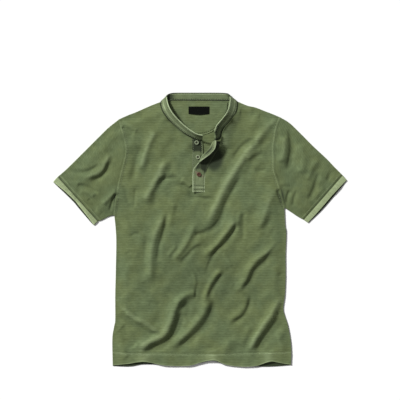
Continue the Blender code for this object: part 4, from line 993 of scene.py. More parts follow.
# %% A ribbon with a wall
BAND_WALL = 2.0
UNDER_PLACKET_WALL, OVER_PLACKET_WALL = 1.4, 1.8
EDGE_ROUNDING = 0.45
NEEDLE_DEPTH = 0.4
NEEDLE_WIDTH = 0.06        # as a share of the ribbon's width


def ribbon(name, lines, wall, tone):
    """A strip of doubled cloth round a grid of places."""
    along, across = run_lengths(lines), run_lengths(lines.transpose(1, 0, 2))
    strip_map = np.dstack(np.broadcast_arrays(along[:, None], across[None, :]))
    made = grid_piece(name, lines, strip_map, tone=tone)
    return thickened(made, wall, offset=0.0, rounding=EDGE_ROUNDING)


def ribbon_normals(lines):
    """Which way each place of a ribbon faces."""
    normals = np.cross(np.gradient(lines, axis=1), np.gradient(lines, axis=0))
    return normals / np.linalg.norm(normals, axis=2)[..., None]


def drawn_in(lines, shares, facing):
    """Press a ribbon in along its needle lines, unevenly, on the face that shows."""
    share = np.linspace(0.0, 1.0, lines.shape[1])[None, :]
    pucker = NEEDLE_DEPTH * (1 + 0.5 * np.sin(math.tau * run_lengths(lines) / PUCKER_LENGTH))[:, None]
    depth = sum(pucker * bump_at(share - needle, NEEDLE_WIDTH) for needle in shares)
    return lines - (depth * facing)[..., None] * ribbon_normals(lines)


def height_at(x, y):
    """Height of the cloth at one place."""
    return float(cloth_height(np.array([x]), np.array([y]))[0])


print("beside the collar button the cloth is", round(height_at(-24.0, 236.0), 1), "mm high")

# %% Lines of the stand
BAND_SECTIONS, BAND_COLUMNS = 300, 22
BAND_NEEDLES = (0.16, 0.84)            # its needle lines, as shares of its width
NECK_TURN, NECK_TURN_RUN = 368.0, 8.0  # its free edge lies behind the neck above this y


def band_seam_height(row):
    """Height of the stand's seam: on the front panel, on the back one, or in the fold between."""
    if row.layer == "open":
        return row.lift
    if row.layer == "front":
        return height_at(row.seam_x, row.seam_y) - WALL / 2 + row.lift
    return BAND_WALL / 2 + row.lift * (row.layer == "fold")


band_table = []
for row in BAND_ROWS:
    seam = band_seam_height(row)
    band_table.append((row.seam_x, row.seam_y, seam, row.edge_x, row.edge_y, seam + row.rise))
band_dense = smooth_line(band_table)
band_lengths = run_lengths(np.stack([band_dense[:, :3], band_dense[:, 3:]], axis=1))
band_even = evenly(band_dense, band_lengths, BAND_SECTIONS)
band_share = np.linspace(0.0, 1.0, BAND_COLUMNS + 1)[None, :, None]
band_lines = band_even[:, None, :3] * (1 - band_share) + band_even[:, None, 3:] * band_share
behind_neck = ease((band_even[:, 4] - NECK_TURN) / NECK_TURN_RUN)[:, None]
band_lines = drawn_in(band_lines, BAND_NEEDLES, 1 - 2 * behind_neck)
print("stand:", round(band_lengths[-1]), "mm long")

# %% The stand and its tone
# In front its free edge is rubbed, and its seam is dark, partly as painted shade. Behind the neck only its
# inner face shows, with painted shade at both seams and in the two corners. The end that has fallen open
# carries painted shade too.
FRONT_TONES = (ToneLine(1.0, 1.1, 0.10), ToneLine(0.80, -0.6, 0.07), ToneLine(0.38, 0.45, 0.12),
               ToneLine(0.0, -0.85, 0.16))
BACK_TONES = (ToneLine(0.82, 0.5, 0.08), ToneLine(0.0, -1.1, 0.17), ToneLine(1.0, -1.1, 0.10))
CORNER_PAINTED_SHADE = (ToneLine(-80.0, -0.9, 12.0), ToneLine(78.0, -0.9, 7.0))
OPEN_SECTIONS, OPEN_FADE = 30, 12

across = band_share[..., 0]
front_tone = toned(across, FRONT_TONES)
back_tone = toned(across, BACK_TONES) + toned(band_even[:, 3:4], CORNER_PAINTED_SHADE)
open_start = BAND_SECTIONS - OPEN_SECTIONS
at_flap = ease((np.arange(BAND_SECTIONS + 1)[:, None] - open_start) / OPEN_FADE)
front_tone = front_tone - 0.5 * at_flap * (1 - ease((across - 0.7) / 0.2))
band_tone = np.clip(front_tone * (1 - behind_neck) + back_tone * behind_neck, -1.0, 1.0)
stand = ribbon("stand_band", band_lines, BAND_WALL, band_tone)
finished(stand, "band", "stand_collar")


# %% Lines and tone of a placket
PLACKET_TONES = (ToneLine(1.0, 0.35, 0.06), ToneLine(0.20, -0.40, 0.05), ToneLine(0.88, -0.40, 0.04))


def strip_lines(table, rows, columns):
    """Lines of a placket from its free edge over the place half way to its sewn edge."""
    heights = [(*row[:8], height_at(row.sewn_x, row.sewn_y) - WALL / 2 + row.sewn_lift) for row in table]
    dense = smooth_line(heights)
    even = evenly(dense, np.arange(len(dense)), rows)
    share = np.linspace(0.0, 1.0, columns + 1)[None, :, None]
    free, half, sewn_edge = (even[:, None, k:k + 3] for k in (0, 3, 6))
    bend = free * (share - 1) + sewn_edge * share
    return bend * (2 * share - 1) + half * 4 * share * (1 - share)


def placket_tone(lines, rub, dark):
    """Rubbed along both edges, with a groove beside each, and darkened where the strip is in a fold by the
    painted shade given as dark.
    """
    share = np.linspace(0.0, 1.0, lines.shape[1])[None, :]
    free_edge = bump_at(share, 0.07)
    return np.clip(rub * free_edge + toned(share, PLACKET_TONES) - dark * (1 - free_edge), -1.0, 1.0)


placket_foot = OVER_PLACKET_ROWS[-1]
print("the over placket is", round(placket_foot.sewn_x - placket_foot.free_x, 1), "mm wide at its foot")

# %% The under placket
UNDER_NEEDLE, UNDER_SEAM_NEEDLE = 0.12, 0.94
UNDER_DARK, UNDER_DARK_RUN = 212.0, 15.0       # above this y it lies in the stand's shade

under_lines = drawn_in(strip_lines(UNDER_PLACKET_ROWS, 90, 22), (UNDER_NEEDLE,), 1.0)
# Painted shade on the top of the under placket, where the stand shades it.
under_painted_shade = 1.2 * ease((under_lines[..., 1] - UNDER_DARK) / UNDER_DARK_RUN)
under_tone = placket_tone(under_lines, 0.5, under_painted_shade)
under_placket = ribbon("placket_under", under_lines, UNDER_PLACKET_WALL, under_tone)
finished(under_placket, "band", "button_placket")

# %% The over placket
OVER_NEEDLES = (0.10, 0.92)
BOX_ROWS = (123.4, 112.6)              # dark thread of the sewn box at its foot
FOOT_ROWS = (118.0, 107.0)             # pale thread under each
LIFTED, LIFTED_RUN = 9.5, 3.0          # where its free edge is higher than this, it lies open
CLOSED, CLOSED_RUN = 162.0, 12.0       # below this y it is closed
SHADED_TOP = 5.0                       # rows at its top in the stand's shade

over_lines = drawn_in(strip_lines(OVER_PLACKET_ROWS, 130, 24), OVER_NEEDLES, -1.0)
over_share = np.linspace(0.0, 1.0, over_lines.shape[1])[None, :]
over_y = over_lines[..., 1]
behind = ease((over_share - 0.5) / 0.2)
lifted = ease((over_lines[:, :1, 2] - LIFTED) / LIFTED_RUN)
closed = ease((CLOSED - over_y) / CLOSED_RUN)
# Painted shade on the lifted flap's hidden side and in the dark places, a painted highlight on its lifted
# inner face, less painted shade where it is closed, and dark and pale thread rows at its foot.
over_shade_highlight_and_thread = np.minimum(0.95 * behind * lifted + shade_at(over_lines[..., 0], over_y), 1.0)
over_shade_highlight_and_thread = over_shade_highlight_and_thread - 0.25 * (1 - behind) * lifted - 0.22 * closed
for row_y, row_dark in [(y, 0.45) for y in BOX_ROWS] + [(y, -0.40) for y in FOOT_ROWS]:
    over_shade_highlight_and_thread = over_shade_highlight_and_thread + row_dark * closed * bump_at(over_y - row_y, 1.5)
at_top = ease(1 - np.arange(len(over_lines)) / SHADED_TOP)[:, None]
# Painted shade over the top rows, where the stand shades them.
over_tone = placket_tone(over_lines, 0.85, over_shade_highlight_and_thread) - 1.9 * at_top * ease((over_share - 0.12) / 0.12)
over_placket = ribbon("placket_over", over_lines, OVER_PLACKET_WALL, np.maximum(over_tone, -1.0))
finished(over_placket, "band", "buttonhole_placket")

# %% [markdown]
# ## Inside the neck
# A half-moon of the same cloth is sewn inside the back of the neck to take the rubbing, and a small
# woven label lies on it, left blank here.

# %% The half-moon
PATCH_WALL = 0.8
PATCH_MIDDLE, PATCH_HALF_WIDTH = -4.0, 80.0
PATCH_TOP, PATCH_DEPTH, PATCH_STRAIGHT = 356.0, 91.0, 6.0
PATCH_ROWS, PATCH_COLUMNS = 30, 64
PATCH_NEEDLE = 4.6         # its needle line, inside its edge
PATCH_TONES = (ToneLine(0.0, 0.4, 2.2), ToneLine(PATCH_NEEDLE, -0.45, 2.0))
PATCH_TONE = 0.15

turn = np.linspace(0.0, math.pi, PATCH_COLUMNS + 1)
patch_x = PATCH_MIDDLE - PATCH_HALF_WIDTH * np.cos(turn)
patch_depth = PATCH_STRAIGHT + (PATCH_DEPTH - PATCH_STRAIGHT) * np.sin(turn)
down = np.linspace(0.0, 1.0, PATCH_ROWS + 1)[:, None]
patch_y = PATCH_TOP - down * patch_depth[None, :]
patch_xy = np.dstack(np.broadcast_arrays(patch_x[None, :], patch_y))
patch_edge = PATCH_TOP - patch_depth[None, :]
from_edge = np.abs(patch_y - patch_edge)
patch_low = BACK_WALL + SEAM_GAP
patch_top = patch_low + PATCH_WALL
patch_z = patch_top + 0.25 * slow_waves(patch_xy[..., 0], patch_xy[..., 1], shift=2.0) ** 2
patch_z = patch_z - 0.3 * bump_at(from_edge - 3.0, 1.2)
half_moon = grid_piece("half_moon", np.dstack([patch_xy, patch_z]), patch_xy,
                       tone=PATCH_TONE + toned(from_edge, PATCH_TONES))
merged(half_moon, outward=False)
thickened(half_moon, -PATCH_WALL)
finished(half_moon, "pique", "back_neck_patch")

# %% The blank label
LABEL_WALL = 0.6
LABEL_LEFT, LABEL_RIGHT, LABEL_TOP, LABEL_FOOT, LABEL_BOW = -32.2, 26.0, 344.4, 323.7, 2.0
LABEL_COLUMNS, LABEL_ROWS = 40, 16
LABEL_LIFT, LABEL_CURL = 0.3, 1.1      # over the patch everywhere, and more at its free lower edge

label_across = np.linspace(0.0, 1.0, LABEL_COLUMNS + 1)[None, :]
label_down = np.linspace(0.0, 1.0, LABEL_ROWS + 1)[:, None]
label_foot = LABEL_FOOT - LABEL_BOW * np.sin(math.pi * label_across)
label_x = LABEL_LEFT + (LABEL_RIGHT - LABEL_LEFT) * label_across
label_y = LABEL_TOP + (label_foot - LABEL_TOP) * label_down
label_xy = np.dstack(np.broadcast_arrays(label_x, label_y))
label_top = patch_top + SEAM_GAP + LABEL_WALL + LABEL_LIFT
label_z = label_top + LABEL_CURL * label_down ** 2 * np.sin(math.pi * label_across)
label = grid_piece("label_blank", np.dstack([label_xy, label_z]), label_xy)
thickened(label, -LABEL_WALL)
finished(label, "label", "neck_label")

# %% [markdown]
# ## Stitches
# Needle lines hold the shirt together and show as rows of short, slightly proud threads. A stitch is
# modelled once, as a small low sphere drawn out along the seam. An Array modifier copies it as often
# as a seam needs, and then each copy is laid along its line, on the cloth.

# %% Copies of one stitch along a line
STITCH_STEP = 3.4          # real ones are 2.5 mm apart
STITCH_SIZE = (2.5, 0.75, 0.55)
STITCH_LIFT = 0.15         # how far its middle is over the cloth


def stitch_row(name, places, normals, step=STITCH_STEP, size=STITCH_SIZE):
    """Stitches laid along a dense line of places, each turned to the line and to the cloth."""
    lengths = run_lengths(places[:, None])
    count = max(int(lengths[-1] / step), 2)
    middles = (np.arange(count) + 0.5) * lengths[-1] / count
    before, middle, after = (
        np.column_stack([np.interp(middles + shift, lengths, column) for column in places.T])
        for shift in (-0.3 * step, 0.0, 0.3 * step))
    along = after - before
    along /= np.linalg.norm(along, axis=1)[:, None]
    up = np.column_stack([np.interp(middles, lengths, column) for column in normals.T])
    up -= (up * along).sum(axis=1)[:, None] * along
    up /= np.linalg.norm(up, axis=1)[:, None]
    sideways = np.cross(up, along)
    deselect()
    bpy.ops.mesh.primitive_uv_sphere_add(segments=6, ring_count=4, radius=0.5)
    made = bpy.context.object
    made.name = made.data.name = name
    shape = np.empty(len(made.data.vertices) * 3)
    made.data.vertices.foreach_get("co", shape)
    shape = shape.reshape(-1, 3) * size
    apply_modifier(made, "ARRAY", count=count, use_relative_offset=False, use_constant_offset=True,
                   constant_offset_displace=(2.0, 0.0, 0.0))
    laid = (middle[:, None] + shape[None, :, :1] * along[:, None] + shape[None, :, 1:2] * sideways[:, None]
            + shape[None, :, 2:] * up[:, None])
    made.data.vertices.foreach_set("co", (laid.reshape(-1, 3) * MM).ravel())
    made.data.update()
    choose(made)
    bpy.ops.object.shade_smooth()
    return made


def sewn(name, material_slot, *rows):
    """Several rows of stitches as one piece."""
    parts = [stitch_row(f"{name}_{index}", *row) for index, row in enumerate(rows)]
    choose(*parts)
    if len(parts) > 1:
        bpy.ops.object.join()
    parts[0].name = parts[0].data.name = name
    return finished(parts[0], material_slot)


print("stitches are drawn", STITCH_STEP, "mm apart on the panels")


# %% Lines for the needle
def on_cloth(line, lift=STITCH_LIFT):
    """A line of places laid on the upper cloth, and the cloth's normals there."""
    x, y = line[:, 0], line[:, 1]
    z = cloth_height(x, y) + seam_relief(x, y)
    slope_x = cloth_height(x + 1.0, y) + seam_relief(x + 1.0, y) - z
    slope_y = cloth_height(x, y + 1.0) + seam_relief(x, y + 1.0) - z
    return np.column_stack([x, y, z + lift]), np.column_stack([-slope_x, -slope_y, np.ones(len(x))])


def beside(line, distance):
    """A line moved sideways, to the left of the way it runs."""
    run = np.gradient(line, axis=0)
    run /= np.hypot(*run.T)[:, None]
    return line + distance * np.column_stack([-run[:, 1], run[:, 0]])


def on_ribbon(lines, share, wall, side=1.0, start=0.0, end=1.0):
    """A line at one share across a ribbon, on one of its faces, and the normals there."""
    rows = slice(int(start * (len(lines) - 1)), int(end * (len(lines) - 1)) + 1)
    middle = along_grid(lines, np.array([share]))[rows, 0]
    normals = side * along_grid(ribbon_normals(lines), np.array([share]))[rows, 0]
    return middle + normals * (wall / 2 + STITCH_LIFT), normals


def across_ribbon(lines, y, start, end, wall, side):
    """A line over a ribbon from one share of its width to another, where its middle is at y."""
    row = int(np.abs(lines[:, lines.shape[1] // 2, 1] - y).argmin())
    shares = np.linspace(start, end, 24)
    normals = side * along_grid(ribbon_normals(lines), shares)[row]
    return along_grid(lines, shares)[row] + normals * (wall / 2 + STITCH_LIFT), normals


print("hem, mid front:", [round(value, 1) for value in on_cloth(SEAM_Y[24:26])[0][0]], "mm")



# %% Hem, armhole and cuff stitches
HEM_STITCHES = (-240, 249)             # x at both ends of the hem's rows
CUFF_LIFT = 0.05

hem_dense = SEAM_Y[(SEAM_Y[:, 0] > HEM_STITCHES[0]) & (SEAM_Y[:, 0] < HEM_STITCHES[1])]
hem_stitches = sewn("stitches_hem", "pique", *(on_cloth(beside(hem_dense, -depth)) for depth in HEM_ROWS))
armhole_stitches = sewn("stitches_armholes", "pique", *(
    on_cloth(beside(smooth_line(armhole)[3:-3], distance))
    for armhole, distance in ((RIGHT_ARMHOLE, ARMHOLE_NEEDLE), (LEFT_ARMHOLE, -ARMHOLE_NEEDLE))))
cuff_stitches = sewn("stitches_cuffs", "pique", *(
    on_cloth(beside(spread((top[0], under[0]), EDGE_POINTS)[1:-1], distance), CUFF_LIFT)
    for top, under, distance in (
        (RIGHT_CUFF_TOP, RIGHT_CUFF_UNDER, CUFF_NEEDLE), (LEFT_CUFF_TOP, LEFT_CUFF_UNDER, -CUFF_NEEDLE))))

# %% Band and placket stitches
BOLD_STEP = 5.0            # drawn twice as long as real ones, or they wouldn't show
BOLD_SIZE = (3.1, 1.3, 0.8)
UP, DOWN = -1, 1           # the over placket's two faces
OPEN_END = 0.05            # shares of the over placket's length where its rows start
CLOSED_START = 0.72
UNDER_END = 0.02           # and of the under one's

stand_stitches = sewn("stitches_stand", "band", *(
    (*on_ribbon(band_lines, needle, BAND_WALL, face, 0.01, end), BOLD_STEP, BOLD_SIZE)
    for needle, end in zip(BAND_NEEDLES, (0.91, 0.99)) for face in (1, -1)))
placket_rows = (
    on_ribbon(over_lines, OVER_NEEDLES[0], OVER_PLACKET_WALL, UP, OPEN_END),
    on_ribbon(over_lines, OVER_NEEDLES[1], OVER_PLACKET_WALL, UP, CLOSED_START),
    on_ribbon(over_lines, OVER_NEEDLES[0], OVER_PLACKET_WALL, DOWN),
    on_ribbon(under_lines, UNDER_NEEDLE, UNDER_PLACKET_WALL, 1, UNDER_END),
    on_ribbon(under_lines, UNDER_SEAM_NEEDLE, UNDER_PLACKET_WALL, 1, UNDER_END))
placket_stitches = sewn("stitches_placket", "band", *((*row, BOLD_STEP, BOLD_SIZE) for row in placket_rows))

# %% The sewn box and the buttonholes
BOX_STEP, BOX_SIZE = 4.4, (3.2, 1.7, 0.9)
HOLE_STEP, HOLE_SIZE = 2.2, (2.6, 1.3, 0.8)
HOLE_HALF_GAP = 1.5        # from a buttonhole's middle to each of its rows
LOWER_HOLE = (156.0, 0.18, 0.85)       # its y, and its shares of the placket's width
OPEN_HOLES = ((203.5, 0.16, 0.55), (233.5, 0.16, 0.55))


def over_placket_row(y, start=0.09, end=0.93):
    """A level row over the over placket."""
    return across_ribbon(over_lines, y, start, end, OVER_PLACKET_WALL, UP)


def buttonhole_at(y, start, end):
    """Two close rows of stitches, as round a worked buttonhole."""
    return [(*over_placket_row(y + shift, start, end), HOLE_STEP, HOLE_SIZE)
            for shift in (-HOLE_HALF_GAP, HOLE_HALF_GAP)]


box_stitches, foot_stitches = (
    sewn(name, "band", *((*over_placket_row(y), BOX_STEP, BOX_SIZE) for y in rows))
    for name, rows in (("stitches_box", BOX_ROWS), ("stitches_foot", FOOT_ROWS)))
lower_buttonhole = sewn("buttonhole_lower", "band", *buttonhole_at(*LOWER_HOLE))
open_buttonholes = sewn("buttonholes_open", "band", *(
    row for hole in OPEN_HOLES for row in buttonhole_at(*hole)))

# %% The half-moon's edge
PATCH_STEP, PATCH_STITCH_SIZE = 5.6, (3.0, 1.4, 0.8)
PATCH_LIFT = 0.3
PATCH_ENDS = 6             # places left out at both ends

edge_x, edge_y = patch_x[PATCH_ENDS:-PATCH_ENDS], patch_edge[0, PATCH_ENDS:-PATCH_ENDS] + PATCH_NEEDLE
edge_line = np.column_stack([edge_x, edge_y, np.full(len(edge_x), patch_top + PATCH_LIFT)])
upright = np.tile((0.0, 0.0, 1.0), (len(edge_line), 1))
patch_stitches = sewn("stitches_half_moon", "pique", (edge_line, upright, PATCH_STEP, PATCH_STITCH_SIZE))

# %% [markdown]
# ## Light and table
# The picture has a white background and a large soft light from the upper left, with little fill, so
# creases show as a bright side and a dark side. One sun with a wide disc gives that, and a dim white
# world fills the shadows.

# %% Sun and sky
SUN_STRENGTH = 4.5
SUN_SIZE = 9.0             # degrees across
SKY_STRENGTH = 0.25
SUN_DIRECTION = Vector((1.0, -0.85, -0.88))

bpy.ops.object.light_add(type="SUN", location=(0.0, 0.0, 2.0))
sun = bpy.context.object
sun.rotation_euler = SUN_DIRECTION.to_track_quat("-Z", "Y").to_euler()
sun.data.energy = SUN_STRENGTH
sun.data.angle = math.radians(SUN_SIZE)

world = bpy.context.scene.world or bpy.data.worlds.new("studio")
bpy.context.scene.world = world
world.use_nodes = True
world.node_tree.nodes["Background"].inputs["Color"].default_value = (1.0, 1.0, 1.0, 1.0)
world.node_tree.nodes["Background"].inputs["Strength"].default_value = SKY_STRENGTH
bpy.context.scene.view_settings.view_transform = "Standard"
print("sun:", SUN_STRENGTH, "over", SUN_SIZE, "degrees, sky:", SKY_STRENGTH)

# %% Table
TABLE_SIZE = 6.0           # metres
TABLE_DROP = 0.0004        # just under the cloth

deselect()
bpy.ops.mesh.primitive_plane_add(size=TABLE_SIZE, location=(0.0, 0.0, -TABLE_DROP))
table = bpy.context.object
table.name = "table"
print("the table is", TABLE_SIZE, "m wide")

# %% [markdown]
# ## Materials
# Every cloth here went through the same dye bath and wash as one garment. That gives the eye four things:
# slow drifts between a cool and a warm green, short thick and thin places along the knitted rows, paler edges
# and seams where the wash rubbed, and darker grooves where it couldn't reach. The tone that drives the last
# two also carries painted light: a painted highlight on crease tops and painted shade in pockets, crease
# hollows and under the stand. One function builds such a cloth, and its settings make it piqué, doubled band
# or rib.

# %% One function for a colour, one for a node
def linear(code):
    """An sRGB hex colour as linear values."""
    channels = [int(code[k:k + 2], 16) / 255 for k in (1, 3, 5)]
    return tuple(c / 12.92 if c <= 0.04045 else ((c + 0.055) / 1.055) ** 2.4 for c in channels) + (1.0,)


def add_node(made, kind, inputs=None, **settings):
    """Add a node. An input's value may be a pair of a node and its output, which is then linked."""
    new = made.node_tree.nodes.new(kind)
    for key, value in settings.items():
        setattr(new, key, value)
    for key, value in (inputs or {}).items():
        if isinstance(value, tuple) and isinstance(value[0], bpy.types.Node):
            made.node_tree.links.new(value[0].outputs[value[1]], new.inputs[key])
        else:
            new.inputs[key].default_value = value
    return new


def new_material(name, roughness, **sockets):
    """A Principled material. Values that are the same all over are set on the shader's own sockets."""
    made = bpy.data.materials.new(name)
    made.use_nodes = True
    shader = made.node_tree.nodes["Principled BSDF"]
    shader.inputs["Roughness"].default_value = roughness
    for key, value in sockets.items():
        shader.inputs[key.replace("_", " ")].default_value = value
    return made, shader


def connect(made, source, output, target, socket):
    """Link an output to an input."""
    made.node_tree.links.new(source.outputs[output], target.inputs[socket])


def dress(made, *things):
    """Give pieces this one material."""
    for thing in things:
        thing.data.materials.clear()
        thing.data.materials.append(made)
    print(made.name, "on", ", ".join(thing.name for thing in things))


FACTOR, LEFT, RIGHT, RESULT = 0, 6, 7, 2      # sockets of a Mix node set to colours
COLOURS = {"data_type": "RGBA"}
SOFT_STEP = {"interpolation_type": "SMOOTHSTEP"}
WAVE_LENGTH = 0.314                            # of Blender's Wave texture at scale 1
print("mid green is", [round(channel, 3) for channel in linear("#697753")[:3]])

# %% The patterns of a dyed knit
Knit = namedtuple("Knit", "drift blotch slub rows cells tone")


def knit_patterns(made, row, cell, along_x):
    """Drifts of the dye on the object, and slubs, rows and cells on the cloth's own map, in metres."""
    place = add_node(made, "ShaderNodeTexCoord")
    # Drifts of the dye are about 90 mm across, and blotches about 16 mm.
    drift = add_node(made, "ShaderNodeTexNoise", {
        "Vector": (place, "Object"), "Scale": 11.0, "Detail": 4.0, "Roughness": 0.6})
    blotch = add_node(made, "ShaderNodeTexNoise", {
        "Vector": (place, "Object"), "Scale": 62.0, "Detail": 3.0, "Roughness": 0.65})
    # Slubs, thick places in the yarn, are 1 to 3 mm wide and a few centimetres long.
    slub_place = add_node(made, "ShaderNodeMapping", {
        "Vector": (place, "UV"), "Scale": (330.0, 60.0, 1.0) if along_x else (60.0, 330.0, 1.0)})
    slub = add_node(made, "ShaderNodeTexNoise", {
        "Vector": (slub_place, "Vector"), "Scale": 1.0, "Detail": 2.0, "Roughness": 0.55})
    rows = add_node(made, "ShaderNodeTexWave", {
        "Vector": (place, "UV"), "Scale": WAVE_LENGTH / row, "Distortion": 1.2, "Detail": 1.0,
        "Detail Scale": 1.5}, wave_type="BANDS", bands_direction="X" if along_x else "Y")
    cells = add_node(made, "ShaderNodeTexVoronoi", {
        "Vector": (place, "UV"), "Scale": 1 / cell, "Randomness": 0.35}, feature="F1")
    tone = add_node(made, "ShaderNodeAttribute", attribute_name="tone")
    return Knit(drift, blotch, slub, rows, cells, tone)


print("patterns:", ", ".join(Knit._fields))


# %% The colour of a dyed knit
def dyed_colour(made, knit, cool, warm, pale, dark, row_depth):
    """Drift from cool to warm green, then mottle it, shade its rows and cells, and by its tone rub it pale
    and lay on painted highlight and painted shade.
    """
    drift_share = add_node(made, "ShaderNodeMapRange", {
        "Value": (knit.drift, "Fac"), "From Min": 0.36, "From Max": 0.64}, **SOFT_STEP)
    ground = add_node(made, "ShaderNodeMix", {
        FACTOR: (drift_share, "Result"), LEFT: linear(cool), RIGHT: linear(warm)}, **COLOURS)
    blotch_share = add_node(made, "ShaderNodeMapRange", {
        "Value": (knit.blotch, "Fac"), "From Min": 0.3, "From Max": 0.7, "To Max": 0.20}, **SOFT_STEP)
    mottled = add_node(made, "ShaderNodeMix", {
        FACTOR: (blotch_share, "Result"), LEFT: (ground, RESULT), RIGHT: linear(dark)}, **COLOURS)
    slub_share = add_node(made, "ShaderNodeMapRange", {
        "Value": (knit.slub, "Fac"), "From Min": 0.40, "From Max": 0.75, "To Max": 0.13}, **SOFT_STEP)
    slubby = add_node(made, "ShaderNodeMix", {
        FACTOR: (slub_share, "Result"), LEFT: (mottled, RESULT), RIGHT: linear(pale)}, **COLOURS)
    row_share = add_node(made, "ShaderNodeMapRange", {
        "Value": (knit.rows, "Fac"), "To Min": row_depth, "To Max": 0.0}, **SOFT_STEP)
    rowed = add_node(made, "ShaderNodeMix", {
        FACTOR: (row_share, "Result"), LEFT: (slubby, RESULT), RIGHT: linear(dark)}, **COLOURS)
    cell_share = add_node(made, "ShaderNodeMapRange", {
        "Value": (knit.cells, "Distance"), "From Min": 0.15, "From Max": 0.75, "To Max": 0.22}, **SOFT_STEP)
    pitted = add_node(made, "ShaderNodeMix", {
        FACTOR: (cell_share, "Result"), LEFT: (rowed, RESULT), RIGHT: linear(dark)}, **COLOURS)
    # Positive tone: paler where rubbed, and a painted highlight on crease tops.
    rubbed_and_highlit = add_node(made, "ShaderNodeMapRange", {"Value": (knit.tone, "Fac"), "To Max": 0.85}, **SOFT_STEP)
    patchy = add_node(made, "ShaderNodeMapRange", {
        "Value": (knit.slub, "Fac"), "From Min": 0.25, "From Max": 0.6, "To Min": 0.55}, **SOFT_STEP)
    rub_and_highlight_share = add_node(made, "ShaderNodeMath", {
        0: (rubbed_and_highlit, "Result"), 1: (patchy, "Result")}, operation="MULTIPLY")
    faded_and_highlit = add_node(made, "ShaderNodeMix", {
        FACTOR: (rub_and_highlight_share, "Value"), LEFT: (pitted, RESULT), RIGHT: linear(pale)}, **COLOURS)
    # Negative tone: darker in grooves, and painted shade in pockets, hollows and under the stand.
    groove_and_shade_share = add_node(made, "ShaderNodeMapRange", {
        "Value": (knit.tone, "Fac"), "From Max": -1.0, "To Max": 0.92}, **SOFT_STEP)
    return add_node(made, "ShaderNodeMix", {
        FACTOR: (groove_and_shade_share, "Result"), LEFT: (faded_and_highlit, RESULT), RIGHT: linear(dark)}, **COLOURS)


print("colour steps: drift, mottle, slubs, rows, cells, rubbed, grooves")


# %% Relief and dryness, and the whole cloth
def knit_relief(made, knit):
    """Rows and slubs stand up a third of a millimetre, and cells are pits."""
    relief = add_node(made, "ShaderNodeMath", {0: (knit.rows, "Fac"), 1: (knit.slub, "Fac")}, operation="ADD")
    pits = add_node(made, "ShaderNodeMath", {
        0: (relief, "Value"), 1: (knit.cells, "Distance")}, operation="SUBTRACT")
    return add_node(made, "ShaderNodeBump", {"Height": (pits, "Value"), "Strength": 0.6, "Distance": 0.00035})


def dyed_cotton(name, cool, warm, pale, dark, row, cell, row_depth, along_x=False):
    """Knitted cotton, dyed as a garment and washed. Row and cell are the knit's sizes in metres."""
    made, shader = new_material(
        name, 0.9, Sheen_Weight=0.12, Sheen_Roughness=0.5, Sheen_Tint=linear(pale), Specular_IOR_Level=0.25)
    knit = knit_patterns(made, row, cell, along_x)
    connect(made, dyed_colour(made, knit, cool, warm, pale, dark, row_depth), RESULT, shader, "Base Color")
    connect(made, knit_relief(made, knit), "Normal", shader, "Normal")
    dry = add_node(made, "ShaderNodeMapRange", {
        "Value": (knit.blotch, "Fac"), "From Min": 0.3, "From Max": 0.7, "To Min": 0.84,
        "To Max": 0.96}, **SOFT_STEP)
    connect(made, dry, "Result", shader, "Roughness")
    print(name, "has", len(made.node_tree.nodes), "nodes")
    return made


# %% Piqué, band and rib
# Real piqué has cells about 1.4 mm apart. Its rows are drawn 4.6 mm apart, or they wouldn't show.
pique = dyed_cotton("garment dyed cotton pique", "#687751", "#6e7a4e", "#a6b68b", "#242c1e",
                    row=0.0046, cell=0.0014, row_depth=0.16)
# Doubled and stiffened, so its face is flatter, and it is rubbed more.
band = dyed_cotton("doubled cotton band", "#6c7a57", "#75825b", "#b4c39b", "#22291c",
                   row=0.0034, cell=0.0012, row_depth=0.10)
# Ribs run across the cuff. Real ones are about 1.6 mm apart and are drawn at twice that.
rib = dyed_cotton("rib knitted cotton", "#75835a", "#7e8b60", "#b2c194", "#242c1e",
                  row=0.0034, cell=0.0011, row_depth=0.34, along_x=True)
dress(pique, front, back, right_sleeve, left_sleeve, half_moon)
dress(band, stand, under_placket, over_placket)
dress(rib, right_cuff, left_cuff)

# %% [markdown]
# ## Label, buttons, thread and table
# The label is woven satin: near black, with a soft gleam across fine ribs. The buttons are turned from resin
# that imitates horn, so they are streaked along one direction and smoother than anything else here. Their
# paler rims are painted reflections, and the two upper ones, in the stand's shade, get darker, greyer faces
# as painted shade. Thread is mercerised cotton, a little paler and glossier than the cloth.

# %% Woven satin
satin, satin_shader = new_material("woven satin label", 0.7, Specular_IOR_Level=0.06)
place = add_node(satin, "ShaderNodeTexCoord")
# Satin threads are about 0.1 mm apart and are drawn 0.9 mm apart.
threads = add_node(satin, "ShaderNodeTexWave", {
    "Vector": (place, "UV"), "Scale": WAVE_LENGTH / 0.0009, "Distortion": 0.6}, bands_direction="Y")
# Lint lies in flecks of 4 to 5 mm.
lint = add_node(satin, "ShaderNodeTexNoise", {"Vector": (place, "UV"), "Scale": 220.0, "Detail": 3.0})
lint_share = add_node(satin, "ShaderNodeMapRange", {
    "Value": (lint, "Fac"), "From Min": 0.5, "From Max": 0.8, "To Max": 0.15}, **SOFT_STEP)
black = add_node(satin, "ShaderNodeMix", {
    FACTOR: (threads, "Fac"), LEFT: linear("#050605"), RIGHT: linear("#0e110c")}, **COLOURS)
linty = add_node(satin, "ShaderNodeMix", {
    FACTOR: (lint_share, "Result"), LEFT: (black, RESULT), RIGHT: linear("#30352c")}, **COLOURS)
connect(satin, linty, RESULT, satin_shader, "Base Color")
bump = add_node(satin, "ShaderNodeBump", {"Height": (threads, "Fac"), "Strength": 0.35, "Distance": 0.0001})
connect(satin, bump, "Normal", satin_shader, "Normal")
dress(satin, label)

# %% Turned horn resin
RIM_FADE = 0.001           # metres over which the painted reflection on the rim fades in


